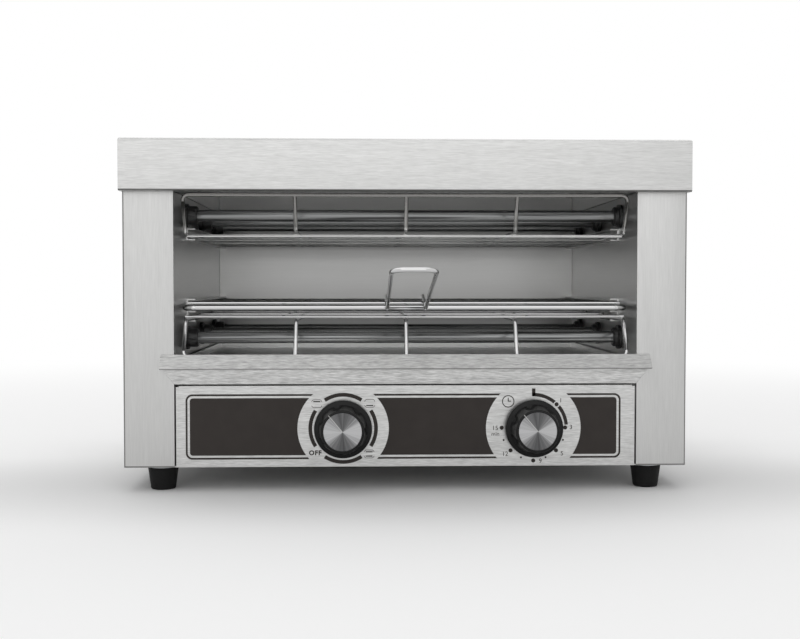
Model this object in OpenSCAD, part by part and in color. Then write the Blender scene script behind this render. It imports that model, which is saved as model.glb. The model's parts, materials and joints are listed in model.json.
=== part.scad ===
// One-level quartz toaster in folded stainless sheet: a wire rack slides between
// two rows of guarded quartz tubes, over a crumb tray and a control box.
// X is to the right, Y to the back, Z up. Feet stand on Z = 0, and the origin is
// in the middle of the whole object's footprint, handle and cable gland included.

/* [Body] */
// Width over the two side panels
body_w = 448; // [420:1:500]
// Depth from the front of the columns to the back of the rear panel
body_d = 300; // [296:1:340]
// Height from the bottom edge to the ceiling
body_h = 219; // [212:1:250]
// Thickness of the sheet steel
sheet = 1; // [0.8:0.1:1.2]
// Outside radius of a fold
fold_r = 1.8; // [1.5:0.1:3]
// Width of each front column
column_w = 40; // [34:1:48]
// Gap at a seam between two sheets
seam = 0.2; // [0.1:0.05:0.4]
// Height of the side and rear panels' tops above the ceiling
tuck_h = 31; // [28:1:34]

/* [Cap] */
// Height of the top cap
cap_h = 41; // [37:1:50]
// How far the cap's edge hangs below the ceiling
cap_hang = 1; // [0:0.1:2]
// How far the cap stands out in front of the columns
cap_overhang = 9.5; // [6:0.5:14]

/* [Front] */
// Height of the control panel
panel_h = 64.8; // [62:0.2:72]
// Gap above the control panel
panel_gap = 1; // [0.6:0.1:1.6]
// Gap at each side of the control panel
panel_side_gap = 1.2; // [0.8:0.1:2.4]
// Depth of the control panel's top and bottom folds
panel_fold = 14; // [10:1:20]
// Height of the front rail under the crumb tray
rail_h = 13.2; // [11:0.2:16]
// How far each mitred rail end runs into its column
mitre = 10.6; // [8:0.2:14]

/* [Cavity] */
// Depth from the front of the columns to the rear wall
cavity_d = 279; // [275:1:285]
// Gap between the tops of the inner side walls and the ceiling
wall_top_gap = 0.8; // [0.4:0.1:0.9]
// Height of the recess in the ceiling
recess_h = 26; // [20:1:28]
// Depth of the flat strip in front of the recess
strip_d = 44; // [36:1:50]
// Diameter of the four holes in the strip
strip_hole_d = 4; // [3:0.5:6]
// Spacing of the holes in the strip
strip_hole_pitch = 104; // [80:2:112]
// Distance of the holes from the front
strip_hole_y = 29; // [20:1:34]

/* [Quartz tubes] */
// Outside diameter of a quartz tube
tube_d = 10; // [9:0.5:11]
// Wall of a quartz tube
tube_wall = 1; // [0.8:0.1:1.2]
// Distance of the front tube from the front of the columns
first_tube_y = 58; // [50:1:62]
// Distance between neighbouring tubes
tube_pitch = 85.5; // [70:0.5:92]
// Drop of the upper tubes below the ceiling strip
upper_tube_drop = 16.4; // [16:0.2:20]
// Rise of the lower tubes above the deck
lower_tube_rise = 21.4; // [20.8:0.2:26]
// Diameter of a tube holder's flange
holder_d = 20; // [18:0.5:22]
// How far a left holder stands in from the wall
left_holder_len = 11; // [8:0.5:14]
// How far a right holder stands in from the wall
right_holder_len = 7; // [6:0.5:12]
// How far the tubes reach out past the inner side walls
tube_reach = 6; // [5:0.5:8]
// Diameter of a heating coil
coil_d = 6.4; // [5:0.2:6.6]
// Diameter of a terminal pin
pin_d = 2.5; // [2:0.1:3]
// Length of a terminal pin
pin_len = 12; // [10:1:16]

/* [Wire guards] */
// Diameter of the bent guard wires
wire_d = 3.2; // [2.8:0.1:3.6]
// Diameter of the straight guard cross bars
bar_d = 2.5; // [2:0.1:3]
// Distance from the tube axes to the cross bars
guard_off = 18.5; // [17:0.5:22]
// Distance from the tube axes to the guard's front bar, on the other side
guard_front_off = 13.4; // [12:0.2:14]
// Distance of the guard's front bar from the front of the columns
guard_front_y = 6; // [5:0.5:9]
// Distance from the front bar to the bend behind it
guard_bend = 14; // [10:1:20]
// Distance of a guard's outer wires from the inner side walls
guard_inset = 6.4; // [5.5:0.1:7]
// Spacing of the cross bars
guard_bar_pitch = 75; // [60:1:76]
// Distance from the guard's bend to its rear end
guard_len = 232; // [228:1:240]
// Length of the wires' turned rear ends
guard_hook = 6; // [4:0.5:8]
// Bend radius of the guard wires
guard_r = 5; // [4:0.5:7]
// Depth of a weld between crossing wires
weld = 0.3; // [0.2:0.05:0.5]

/* [Runners] */
// How far a runner stands in from its wall
runner_w = 7; // [6.5:0.1:8]
// Distance of the runners' front ends from the front of the columns
runner_y = 67; // [50:1:90]
// Height of an upper guard runner
upper_runner_h = 10; // [9:0.2:12]
// Clearance of the rack's cross bars under the tops of their runners
rack_headroom = 0.9; // [0.6:0.1:3.5]
// Rise of the rack runner's underside above the lower guard's cross bars
rack_runner_rise = 3.5; // [3:0.1:6]

/* [Rack] */
// Diameter of the rack's outer wire
rack_d = 5; // [4:0.2:6]
// Diameter of the rack's cross bars and long wires
rack_bar_d = 2.5; // [2:0.1:2.8]
// Spacing of the rack's three long wires
rack_wire_pitch = 100; // [80:1:120]
// Number of gaps between the rack's cross bars
rack_gaps = 12; // [8:1:14]
// Distance of the rack's front bar from the front of the columns
rack_y = 15; // [12:1:20]
// Depth of the rack between its front and rear bars
rack_len = 240; // [220:1:250]
// Bend radius of the rack's corners
rack_r = 9; // [7:0.5:14]
// Running clearance of the rack above its runners
rack_clear = 0.3; // [0.2:0.05:0.6]

/* [Handle] */
// Width of the handle between its wire axes
handle_w = 30.6; // [26:0.2:40]
// Diameter of the handle wire
handle_d = 3.2; // [2.8:0.1:4]
// How far the handle's tip stands out in front of the columns
handle_reach = 139; // [110:1:150]
// Rise of the handle's tip above the rack
handle_rise = 28.5; // [20:0.5:32]
// Bend radius of the handle's front corners
handle_r = 9.6; // [6:0.2:12]
// Depth of the two rear ends behind the rack's front bar
stub_len = 35; // [20:1:45]
// Rise of the two rear ends above the tops of the rack's cross bars
stub_rise = 4.3; // [3.6:0.1:6.5]

/* [Crumb tray] */
// Clearance at each side of the tray
tray_side_gap = 2.2; // [1.5:0.1:4]
// Depth of the tray behind the columns' front
tray_len = 270; // [240:1:273]
// Height of the tray's side and rear walls
tray_wall_h = 5.4; // [4:0.2:5.6]
// How far the sloped lip laps over each column
lip_lap = 10.5; // [2:0.1:14]
// Height of the lip's top edge above the tray floor
lip_h = 9.5; // [8:0.5:10]
// Forward reach of the lip's slope
lip_reach = 8.3; // [6:0.1:10]
// How far the lip hangs below the tray's underside
lip_hang = 0.8; // [0.4:0.1:1.2]
// Radius of the lip's lower corners
lip_r = 1.2; // [0.8:0.2:4]

/* [Knobs] */
// Height of the knob axes above the bottom edge
knob_z = 30.6; // [29:0.2:34]
// Place of the selector along X
selector_x = -50.6; // [-70:0.2:-45]
// Place of the timer along X
timer_x = 101.2; // [90:0.2:110]
// Diameter of a knob's skirt
skirt_d = 45.8; // [42:0.2:50]
// Depth of a knob from its back to its front face
knob_depth = 22.5; // [20:0.5:26]
// Gap between a knob and the panel
knob_gap = 1.5; // [1:0.1:2.5]
// Diameter of a grip where it leaves the skirt
grip_base_d = 39; // [36:0.2:40]
// Diameter of a grip at its front
grip_front_d = 34; // [33:0.2:36]
// Number of flutes round a grip
flutes = 7; // [6:1:12]
// Diameter of a flute
flute_d = 15; // [10:0.5:15]
// Depth of a flute where the grip leaves the skirt
flute_depth = 2.6; // [1:0.1:3]
// Diameter of a knob's spun disc
disc_d = 29.8; // [26:0.2:31]
// Thickness of a knob's spun disc
disc_t = 1.4; // [1:0.1:2]
// Angle of the pointer lines, clockwise from the top
pointer_angle = -40; // [-60:1:60]
// Diameter of the switch shafts
shaft_d = 6; // [5:0.5:7]
// Radial clearance of a shaft in its switch
shaft_clear = 0.05; // [0.03:0.01:0.1]
// Outside diameter of a switch bush
bush_d = 10; // [9:0.5:11]
// Width of a panel nut across its flats
nut_w = 14; // [13:0.5:16]
// Thickness of a panel nut
nut_t = 2.4; // [2:0.1:3]

/* [Switches and leads] */
// Width of the selector switch
switch_w = 40; // [34:1:44]
// Depth of the selector switch
switch_len = 48; // [40:1:60]
// Diameter of the timer's case
timer_d = 46; // [40:1:50]
// Depth of the timer's case
timer_len = 40; // [34:1:50]
// Width of the terminal block
block_w = 44; // [40:1:60]
// Depth of the terminal block
block_len = 20; // [16:1:26]
// Height of the terminal block
block_h = 18; // [14:1:22]
// Distance of the terminal block's back from the rear panel
block_back = 30; // [24:1:50]
// Diameter of a lead
lead_d = 2.6; // [2:0.1:3.2]
// Bend radius of the leads
lead_r = 8; // [6:0.5:8]
// Distance of the heater leads from a switch's axis, across and up
lead_spread = 6; // [4:0.5:8]
// Drop of the lead holes below the deck
lead_hole_drop = 18; // [14:1:20]
// Diameter of the lead holes in the inner side walls
lead_hole_d = 8; // [7:0.5:10]

/* [Back] */
// Inset of the cable gland's axis from the left side panel's outside
gland_inset = 84; // [74:1:114]
// Height of the cable gland above the bottom edge
gland_z = 26; // [22:1:40]
// Bore of the cable gland
gland_bore = 8; // [6:0.5:9]
// Outside diameter of the gland's thread
gland_d = 16; // [14:0.5:18]
// How far the gland stands out behind the rear panel
gland_len = 20; // [16:1:26]
// Number of vent slots
vents = 14; // [8:1:16]
// Spacing of the vent slots
vent_pitch = 14; // [10:0.5:15]
// Distance of the first rear slot from the gland
vent_start = 60; // [40:1:90]
// Length of a vent slot
vent_len = 34; // [20:1:36]
// Width of a vent slot
vent_w = 4; // [3:0.5:5]

/* [Feet] */
// Height of a foot with its washer
foot_h = 19.5; // [15:0.5:30]
// Diameter of a foot at its top
foot_top_d = 24.5; // [22:0.5:30]
// Diameter of a foot at the ground
foot_low_d = 20; // [18:0.5:22]
// Inset of a foot's axis from the side panels' outside
foot_inset_x = 28; // [24:1:36]
// Inset of a foot's axis from the front and the back
foot_inset_y = 18; // [15:1:30]
// Thickness of the washer above a foot
washer_t = 1.6; // [1:0.1:2]
// Diameter of the recess under a foot
foot_recess_d = 11; // [10:0.5:13]
// Height of the recess under a foot
foot_recess_h = 8; // [6:0.5:10]
// Diameter of the screws
screw_d = 4; // [3:0.5:5]

/* [Hidden] */
$fn = 48;

// Colours
bright_steel = [0.84, 0.84, 0.83];
satin_steel = [0.55, 0.55, 0.55];
chrome = [0.78, 0.78, 0.8];
quartz = [0.62, 0.63, 0.65, 0.6];
black = [0.13, 0.13, 0.13];
alloy = [0.74, 0.74, 0.75];
zinc = [0.68, 0.69, 0.7];
lead_grey = [0.36, 0.36, 0.38];
ivory = [0.85, 0.84, 0.8];

// Widths
side_x = body_w / 2;
wall_x = side_x - column_w;

// Heights above the bottom edge
deck_z = panel_h + panel_gap + rail_h;
top_z = body_h + tuck_h;
cap_z = body_h - cap_hang;
upper_tube_z = body_h - upper_tube_drop;
lower_tube_z = deck_z + lower_tube_rise;
upper_bar_z = upper_tube_z - guard_off;
lower_bar_z = lower_tube_z + guard_off;
cross_step = (wire_d + bar_d) / 2 - weld;
butt_step = wire_d / 3;
upper_side_z = upper_bar_z + butt_step;
lower_side_z = lower_bar_z - cross_step;
upper_runner_z = upper_side_z - wire_d / 2 - seam - sheet;
lower_runner_z = lower_side_z - wire_d / 2 - seam - sheet;
rack_runner_z = lower_bar_z + rack_runner_rise;
rack_z = rack_runner_z + sheet + rack_clear + rack_d / 2;
rack_wire_z = rack_z + (rack_d - rack_bar_d) / 2;
rack_bar_z = rack_wire_z + rack_bar_d - weld;
rack_top_z = rack_bar_z + rack_bar_d / 2;
rack_runner_h = rack_top_z + rack_headroom + sheet - rack_runner_z;

// Places along Y, from the front of the columns
rear_y = body_d - sheet;
rack_pitch = rack_len / rack_gaps;
tube_ys = [for (k = [0 : 2]) first_tube_y + k * tube_pitch];
guard_bend_y = guard_front_y + guard_bend;
runner_len = cavity_d - runner_y - seam;

// Places across the cavity
guard_x = wall_x - guard_inset;
guard_wire_pitch = guard_x / 2;
rack_x = wall_x - runner_w + rack_d / 5;
tube_end = wall_x + sheet + tube_reach;
plug_len = tube_reach;
bus_x = tube_end + pin_len / 2;
spigot_wall = 2;
spigot_d = tube_d + 2 * spigot_wall;

// Bends of the wires
bend_lap = 0.2;
bend_swell = 0.06;

// Handle
hook_r = (rack_d + handle_d) / 2 + seam / 2;
handle_front_y = rack_y - hook_r;
handle_low_z = rack_z - handle_d / 4;
hook_bend_r = hook_r * 0.7;
low_bend_r = handle_d * 0.55;

// The whole object's reach, which sets the origin
handle_end = handle_reach + (handle_d + bend_swell) / 2;
front_y = (handle_end - body_d - gland_len) / 2;

// Switch shafts, in the depth behind and the height in front of the panel's front
shaft_cover = 4;
shaft_depth = 20;
shaft_front = knob_gap + knob_depth - disc_t - shaft_cover;

// Leads and the terminal block
row_zs = [lower_tube_z, upper_tube_z];
lead_ys = [for (k = [0 : 1]) tube_ys[k] + tube_pitch / 2];
lead_hole_z = deck_z - lead_hole_drop;
block_y = rear_y - block_back - block_len;
lead_z = sheet + block_h / 2;

// Cable gland
gland_x = gland_inset - side_x;
gland_hex_d = gland_d + 8;
gland_dome_d = gland_d + 4;

// Foot axes in X and Y, and the rear panel's screws in X and Z
foot_x = side_x - foot_inset_x;
foot_places = [for (y = [foot_inset_y, body_d - foot_inset_y], x = [-foot_x, foot_x]) [x, y]];
back_screw_x = side_x - 8;
back_screw_zs = [20, body_h / 2, body_h - 12];
back_screw_places = [for (x = [-back_screw_x, back_screw_x], z = back_screw_zs) [x, z]];

// Places an object drawn from the columns' front and the bottom edge into the frame
module in_frame() translate([0, front_y, foot_h]) children();

// Copies of a shape on the left and on the right
module both_sides() {
    children();
    mirror([1, 0, 0]) children();
}

// Rectangle with round corners
module rounded_rect(w, h, r) {
    translate([r, 0]) square([w - 2 * r, h]);
    translate([0, r]) square([w, h - 2 * r]);
    for (x = [r, w - r], y = [r, h - r]) translate([x, y]) circle(r);
}

// Slot with round ends, centred, its length along the second axis
module slot(w, len) {
    square([w, len - w], center = true);
    for (y = [w - len, len - w] / 2) translate([0, y]) circle(d = w);
}

// Box from its low corner to its high corner
module block(low, high) translate(low) cube(high - low);

// A profile drawn in Y and Z, extruded along X and centred
module along_x(len) rotate([90, 0, 90]) linear_extrude(len, center = true) children();

// A profile drawn in X and Z, extruded along +Y from y
module along_y(y, len) translate([0, y + len, 0]) rotate([90, 0, 0]) linear_extrude(len) children();

// A round pin along +X from a point
module pin_x(p, d, len) translate(p) rotate([0, 90, 0]) cylinder(d = d, h = len);

// A hole along Z through a sheet whose lower face is at a point
module hole_z(p, d) translate([p.x, p.y, p.z - sheet]) cylinder(d = d, h = 3 * sheet);

function unit(v) = v / norm(v);

// Straight piece of wire between two points
module rod(a, b, d) {
    v = b - a;
    translate(a) rotate([0, acos(v.z / norm(v)), atan2(v.y, v.x)]) cylinder(d = d, h = norm(v));
}

// Round bend of a wire at a corner, from direction u into direction v
module bend(corner, u, v, r, d) {
    turn = acos(u * v);
    axis = unit(cross(u, v));
    side = cross(axis, u);
    centre = corner - u * r * tan(turn / 2) + side * r;
    multmatrix([
        [-side.x, u.x, axis.x, centre.x],
        [-side.y, u.y, axis.y, centre.y],
        [-side.z, u.z, axis.z, centre.z]
    ]) rotate_extrude(angle = turn) translate([r, 0]) circle(d = d);
}

// Wire bent along a list of corners with one radius for each corner between its ends.
// It swells a little at its bends, which lap over the ends of the straight pieces.
module wire(points, radii, d) {
    last = len(points) - 1;
    dirs = [for (i = [0 : last - 1]) unit(points[i + 1] - points[i])];
    cuts = [for (i = [0 : last])
        i == 0 || i == last ? 0 : radii[i - 1] * tan(acos(dirs[i - 1] * dirs[i]) / 2) - bend_lap];
    for (i = [0 : last - 1])
        rod(points[i] + dirs[i] * cuts[i], points[i + 1] - dirs[i] * cuts[i + 1], d);
    for (i = [1 : last - 1]) bend(points[i], dirs[i - 1], dirs[i], radii[i - 1], d + bend_swell);
}

// Top cap: one folded shell with a return under its front overhang
module top_cap() {
    cap_x = side_x + sheet;
    cap_len = cap_overhang + body_d + sheet;
    color(bright_steel) in_frame() difference() {
        intersection() {
            along_y(-cap_overhang, cap_len) translate([-cap_x, cap_z - fold_r])
                rounded_rect(2 * cap_x, cap_h + fold_r, fold_r);
            along_x(2 * cap_x) translate([-cap_overhang, cap_z])
                rounded_rect(cap_len, cap_h, fold_r);
        }
        block([-side_x, sheet - cap_overhang, cap_z + sheet], [side_x, body_d, cap_z + cap_h - sheet]);
        block([-side_x, -seam, cap_z - sheet], [side_x, body_d, cap_z + 2 * sheet]);
        block([-cap_x - sheet, body_d, cap_z - sheet], [cap_x + sheet, body_d + sheet, body_h + seam]);
    }
}

// Left side panel: outer wall, front column and rear fold, with a notch for the rail's end
module side_panel() {
    rear_fold = 16;
    ring_w = 2 * column_w;
    color(bright_steel) in_frame() difference() {
        translate([-side_x, 0, 0]) linear_extrude(top_z) intersection() {
            difference() {
                rounded_rect(ring_w, rear_y, fold_r);
                translate([sheet, sheet])
                    rounded_rect(ring_w - 2 * sheet, rear_y - 2 * sheet, fold_r - sheet);
            }
            union() {
                square([column_w, rear_y / 2]);
                square([rear_fold, rear_y]);
            }
        }
        along_y(-sheet, 3 * sheet) rail_outline(seam / 2);
    }
}
module left_side_panel() side_panel();
module right_side_panel() mirror([1, 0, 0]) side_panel();

// Front outline of the rail, wider at the top where its mitred ends run into the columns
module rail_outline(grow) {
    low = wall_x - panel_side_gap / 2;
    high = wall_x + mitre;
    polygon([
        [-low - grow, panel_h + panel_gap - grow], [low + grow, panel_h + panel_gap - grow],
        [high + grow, deck_z + grow], [-high - grow, deck_z + grow]
    ]);
}

// Left inner wall with holes for the tube holders and the leads
module liner() {
    color(satin_steel) in_frame() difference() {
        block([-wall_x - sheet, sheet, sheet], [-wall_x, rear_y - sheet, body_h - wall_top_gap]);
        for (y = tube_ys, z = [upper_tube_z, lower_tube_z])
            pin_x([-wall_x - 2 * sheet, y, z], spigot_d, 3 * sheet);
        for (y = lead_ys) pin_x([-wall_x - 2 * sheet, y, lead_hole_z], lead_hole_d, 3 * sheet);
    }
}
module left_liner() liner();
module right_liner() mirror([1, 0, 0]) liner();

// Rear wall of the cavity, standing on the deck
module rear_liner() {
    color(satin_steel) in_frame()
        block([-wall_x + seam, cavity_d, deck_z], [wall_x - seam, cavity_d + sheet, body_h + recess_h]);
}

// Outer rear panel with vent slots and the gland's hole
module back_panel() {
    vent_x = gland_x + vent_start;
    color(bright_steel) in_frame() difference() {
        block([-side_x, rear_y, 0], [side_x, body_d, top_z]);
        along_y(rear_y - sheet, 3 * sheet) {
            for (k = [0 : vents - 1])
                translate([vent_x + k * vent_pitch, panel_h / 2]) slot(vent_w, vent_len);
            translate([gland_x, gland_z]) circle(d = gland_d + seam);
            for (p = back_screw_places) translate(p) circle(d = screw_d + seam);
        }
    }
}

// Base plate with turned-up sides, foot holes and vent slots
module base_plate() {
    base_x = side_x - sheet;
    flange_h = 12;
    color(satin_steel) in_frame() difference() {
        union() {
            block([-base_x, sheet, 0], [base_x, rear_y - sheet, sheet]);
            both_sides()
                block([-base_x, column_w, 0], [-base_x + sheet, rear_y - column_w, flange_h]);
        }
        for (p = foot_places) hole_z([p.x, p.y, 0], screw_d + seam);
        for (k = [0 : vents - 1])
            translate([(k - (vents - 1) / 2) * vent_pitch, body_d / 2, -sheet])
                linear_extrude(3 * sheet) slot(vent_w, vent_len);
    }
}

// Deck over the control box, folded down in front as the rail and at both sides
module deck() {
    deck_x = wall_x - seam;
    fold = 10;
    color(bright_steel) in_frame() {
        block([-deck_x, sheet / 2, deck_z - sheet], [deck_x, rear_y - sheet, deck_z]);
        along_y(0, sheet) rail_outline(0);
        both_sides() block(
            [-deck_x, column_w, deck_z - fold],
            [-deck_x + sheet, rear_y - column_w, deck_z - sheet / 2]
        );
    }
}

// Control panel with its top and bottom folds, relief notches and two bush holes
module control_panel() {
    panel_x = wall_x - panel_side_gap;
    notch_w = 2.4;
    color(bright_steel) in_frame() difference() {
        union() {
            block([-panel_x, 0, 0], [panel_x, sheet, panel_h]);
            block([-panel_x, sheet / 2, sheet], [panel_x, panel_fold, 2 * sheet]);
            block(
                [notch_w - panel_x, sheet / 2, panel_h - sheet],
                [panel_x - notch_w, panel_fold, panel_h]
            );
        }
        for (x = [selector_x, timer_x])
            translate([x, -sheet, knob_z]) rotate([-90, 0, 0])
                cylinder(d = bush_d + seam, h = 3 * sheet);
        both_sides() block(
            [-panel_x - sheet, -sheet, panel_h - sheet],
            [notch_w - panel_x, 2 * sheet, panel_h + sheet]
        );
    }
}

// Ceiling: a drilled strip in front, then a recess that opens downwards
module ceiling_pan() {
    pan_x = wall_x + sheet;
    recess_z = body_h + recess_h;
    color(satin_steel) in_frame() difference() {
        union() {
            block([-pan_x, sheet + seam, body_h], [pan_x, strip_d + sheet, body_h + sheet]);
            block([-pan_x, strip_d, body_h], [pan_x, strip_d + sheet, recess_z + sheet]);
            block([-pan_x, strip_d, recess_z], [pan_x, cavity_d + sheet, recess_z + sheet]);
            both_sides() block([-pan_x, strip_d, body_h], [-wall_x, cavity_d + sheet, recess_z + sheet]);
        }
        for (k = [-1.5 : 1.5]) hole_z([k * strip_hole_pitch, strip_hole_y, body_h], strip_hole_d);
    }
}

// Folded front of the crumb tray, in Y and Z: a riser with a lip that slopes down in front of it
module lip_profile(low_z, high_z) {
    drop = high_z - low_z;
    back_y = -seam;
    riser_y = back_y - sheet;
    across = sheet * norm([lip_reach, drop]) / drop;
    polygon([
        [back_y, deck_z], [back_y, high_z], [riser_y, high_z], [riser_y - lip_reach, low_z],
        [riser_y - lip_reach + across, low_z], [riser_y, high_z - across * drop / lip_reach],
        [riser_y, deck_z]
    ]);
}

// Crumb tray: shallow pan with a riser and a sloped lip in front of the columns
module crumb_tray() {
    tray_x = wall_x - tray_side_gap;
    lip_w = 2 * (wall_x + lip_lap);
    floor_z = deck_z + sheet;
    wall_z = floor_z + tray_wall_h;
    low_z = deck_z - lip_hang;
    high_z = floor_z + lip_h;
    color(bright_steel) in_frame() {
        difference() {
            block([-tray_x, -seam - sheet / 2, deck_z], [tray_x, tray_len, wall_z]);
            block(
                [sheet - tray_x, -seam - sheet, floor_z],
                [tray_x - sheet, tray_len - sheet, wall_z + sheet]
            );
        }
        intersection() {
            along_x(lip_w) lip_profile(low_z, high_z);
            along_y(-2 * lip_reach, 2 * lip_reach)
                translate([-lip_w / 2, low_z]) rounded_rect(lip_w, high_z - low_z, lip_r);
        }
    }
}

// Wire guard in front of one row of tubes. up is 1 above the rack and -1 below it
module guard(side_z, mid_z, bar_z, front_z, bar_x, up) {
    rear = guard_bend_y + guard_len;
    color(chrome) in_frame() {
        wire([
            [-guard_x, rear, side_z], [-guard_x, guard_bend_y, side_z],
            [-guard_x, guard_front_y, front_z], [guard_x, guard_front_y, front_z],
            [guard_x, guard_bend_y, side_z], [guard_x, rear, side_z]
        ], [guard_r, guard_r, guard_r, guard_r], wire_d);
        for (k = [-1 : 1]) {
            x = k * guard_wire_pitch;
            wire([
                [x, rear, mid_z + up * guard_hook], [x, rear, mid_z],
                [x, guard_bend_y, mid_z], [x, guard_front_y, front_z]
            ], [wire_d, guard_r], wire_d);
        }
        for (k = [0 : 2]) {
            y = guard_bend_y + wire_d + k * guard_bar_pitch;
            pin_x([-bar_x, y, bar_z], bar_d, 2 * bar_x);
        }
        pin_x([-bar_x, rear - wire_d * 2, bar_z], bar_d, 2 * bar_x);
    }
}
module upper_guard() {
    front_z = upper_tube_z + guard_front_off;
    bar_end = wall_x - runner_w - seam;
    guard(upper_side_z, upper_bar_z + cross_step, upper_bar_z, front_z, bar_end, 1);
}
module lower_guard() {
    front_z = lower_tube_z - guard_front_off;
    bar_end = guard_x + wire_d / 3;
    guard(lower_side_z, lower_side_z, lower_bar_z, front_z, bar_end, -1);
}

// U-shaped runner on the left wall
module runner(z, h) {
    in_x = wall_x - runner_w;
    far_y = runner_y + runner_len;
    color(satin_steel) in_frame() difference() {
        block([-wall_x, runner_y, z], [-in_x, far_y, z + h]);
        block([sheet - wall_x, runner_y - sheet, z + sheet], [sheet - in_x, far_y + sheet, z + h - sheet]);
    }
}
module left_upper_runner() runner(upper_runner_z, upper_runner_h);
module right_upper_runner() mirror([1, 0, 0]) runner(upper_runner_z, upper_runner_h);
module left_rack_runner() runner(rack_runner_z, rack_runner_h);
module right_rack_runner() mirror([1, 0, 0]) runner(rack_runner_z, rack_runner_h);
module left_lower_runner() runner(lower_runner_z, rack_runner_z - lower_runner_z);
module right_lower_runner() mirror([1, 0, 0]) runner(lower_runner_z, rack_runner_z - lower_runner_z);

// Rack: a bent outer wire and three long wires, with cross bars welded on top of them
module rack_frame() {
    far_y = rack_y + rack_len;
    mid_y = rack_y + rack_len / 2;
    color(chrome) in_frame() {
        both_sides() wire([
            [0, rack_y, rack_z], [-rack_x, rack_y, rack_z], [-rack_x, mid_y, rack_z]
        ], [rack_r], rack_d);
        both_sides() wire([
            [0, far_y, rack_z], [-rack_x, far_y, rack_z], [-rack_x, mid_y, rack_z]
        ], [rack_r], rack_d);
        for (k = [-1 : 1]) {
            x = k * rack_wire_pitch;
            rod([x, rack_y, rack_wire_z], [x, far_y, rack_wire_z], rack_bar_d);
        }
        for (k = [1 : rack_gaps - 1])
            pin_x([-rack_x, rack_y + k * rack_pitch, rack_bar_z], rack_bar_d, 2 * rack_x);
    }
}

// Handle: a wire loop hooked over the rack's front bar, with a cross bar in front of it
module rack_handle() {
    x = handle_w / 2;
    back = [x, rack_y + stub_len, rack_top_z + stub_rise];
    over = [x, handle_front_y, rack_z + hook_r];
    low = [x, handle_front_y, handle_low_z];
    tip = [x, -handle_reach, rack_z + handle_rise];
    tip_mid = [0, -handle_reach, rack_z + handle_rise];
    color(chrome) in_frame() {
        both_sides()
            wire([back, over, low, tip, tip_mid], [hook_bend_r, low_bend_r, handle_r], handle_d);
        pin_x([-x, handle_front_y, handle_low_z], handle_d, handle_w);
    }
}

// One quartz tube
module tube(y, z) {
    color(quartz) in_frame() difference() {
        pin_x([-tube_end, y, z], tube_d, 2 * tube_end);
        pin_x([-tube_end - sheet, y, z], tube_d - 2 * tube_wall, 2 * (tube_end + sheet));
    }
}
module upper_front_tube() tube(tube_ys[0], upper_tube_z);
module upper_middle_tube() tube(tube_ys[1], upper_tube_z);
module upper_rear_tube() tube(tube_ys[2], upper_tube_z);
module lower_front_tube() tube(tube_ys[0], lower_tube_z);
module lower_middle_tube() tube(tube_ys[1], lower_tube_z);
module lower_rear_tube() tube(tube_ys[2], lower_tube_z);

// Heating coils of one row, as plain cylinders of their outside diameter
module coils(z) {
    coil_end = tube_end - plug_len;
    color(lead_grey) in_frame() for (y = tube_ys) pin_x([-coil_end, y, z], coil_d, 2 * coil_end);
}
module upper_coils() coils(upper_tube_z);
module lower_coils() coils(lower_tube_z);

// Terminals of one row: a plug in each tube end with a pin
module terminals(z) {
    plug_d = tube_d - 2 * tube_wall - seam / 2;
    color(zinc) in_frame() both_sides() for (y = tube_ys) {
        pin_x([tube_end - plug_len, y, z], plug_d, plug_len);
        pin_x([tube_end - plug_len / 2, y, z], pin_d, pin_len + plug_len / 2);
    }
}
module upper_terminals() terminals(upper_tube_z);
module lower_terminals() terminals(lower_tube_z);

// Tube holders of one row on the left wall: flange, neck and spigot round the tube
module holders(z, len) {
    flange_t = 3;
    edge = 1;
    spigot_len = 3;
    spigot_r = (spigot_d - seam) / 2;
    flange_r = holder_d / 2;
    neck_r = flange_r - 2 * edge;
    bore_r = tube_d / 2 + seam / 4;
    color(black) in_frame() for (y = tube_ys)
        translate([-wall_x, y, z]) rotate([0, 90, 0]) rotate_extrude() polygon([
            [bore_r, -sheet - spigot_len], [spigot_r, -sheet - spigot_len], [spigot_r, 0],
            [flange_r, 0], [flange_r, flange_t], [neck_r, flange_t + edge],
            [neck_r, len - edge], [neck_r - edge, len], [bore_r, len]
        ]);
}
module upper_left_holders() holders(upper_tube_z, left_holder_len);
module lower_left_holders() holders(lower_tube_z, left_holder_len);
module upper_right_holders() mirror([1, 0, 0]) holders(upper_tube_z, right_holder_len);
module lower_right_holders() mirror([1, 0, 0]) holders(lower_tube_z, right_holder_len);

// Bus bars on the left, one for each row, threaded on the terminal pins
module bus_bars() {
    bar_h = 10;
    over = 8;
    color(zinc) in_frame() for (z = [upper_tube_z, lower_tube_z]) difference() {
        block(
            [-bus_x - sheet, tube_ys[0] - over, z - bar_h / 2],
            [-bus_x, tube_ys[2] + over, z + bar_h / 2]
        );
        for (y = tube_ys) pin_x([-bus_x - 2 * sheet, y, z], pin_d + seam / 2, 3 * sheet);
    }
}
module left_bus_bars() bus_bars();
module right_bus_bars() mirror([1, 0, 0]) bus_bars();

// Local frame of a knob: x to the right, y up, z towards the user
module knob_frame(x) in_frame() translate([x, 0, knob_z]) rotate([90, 0, 0]) children();

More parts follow.
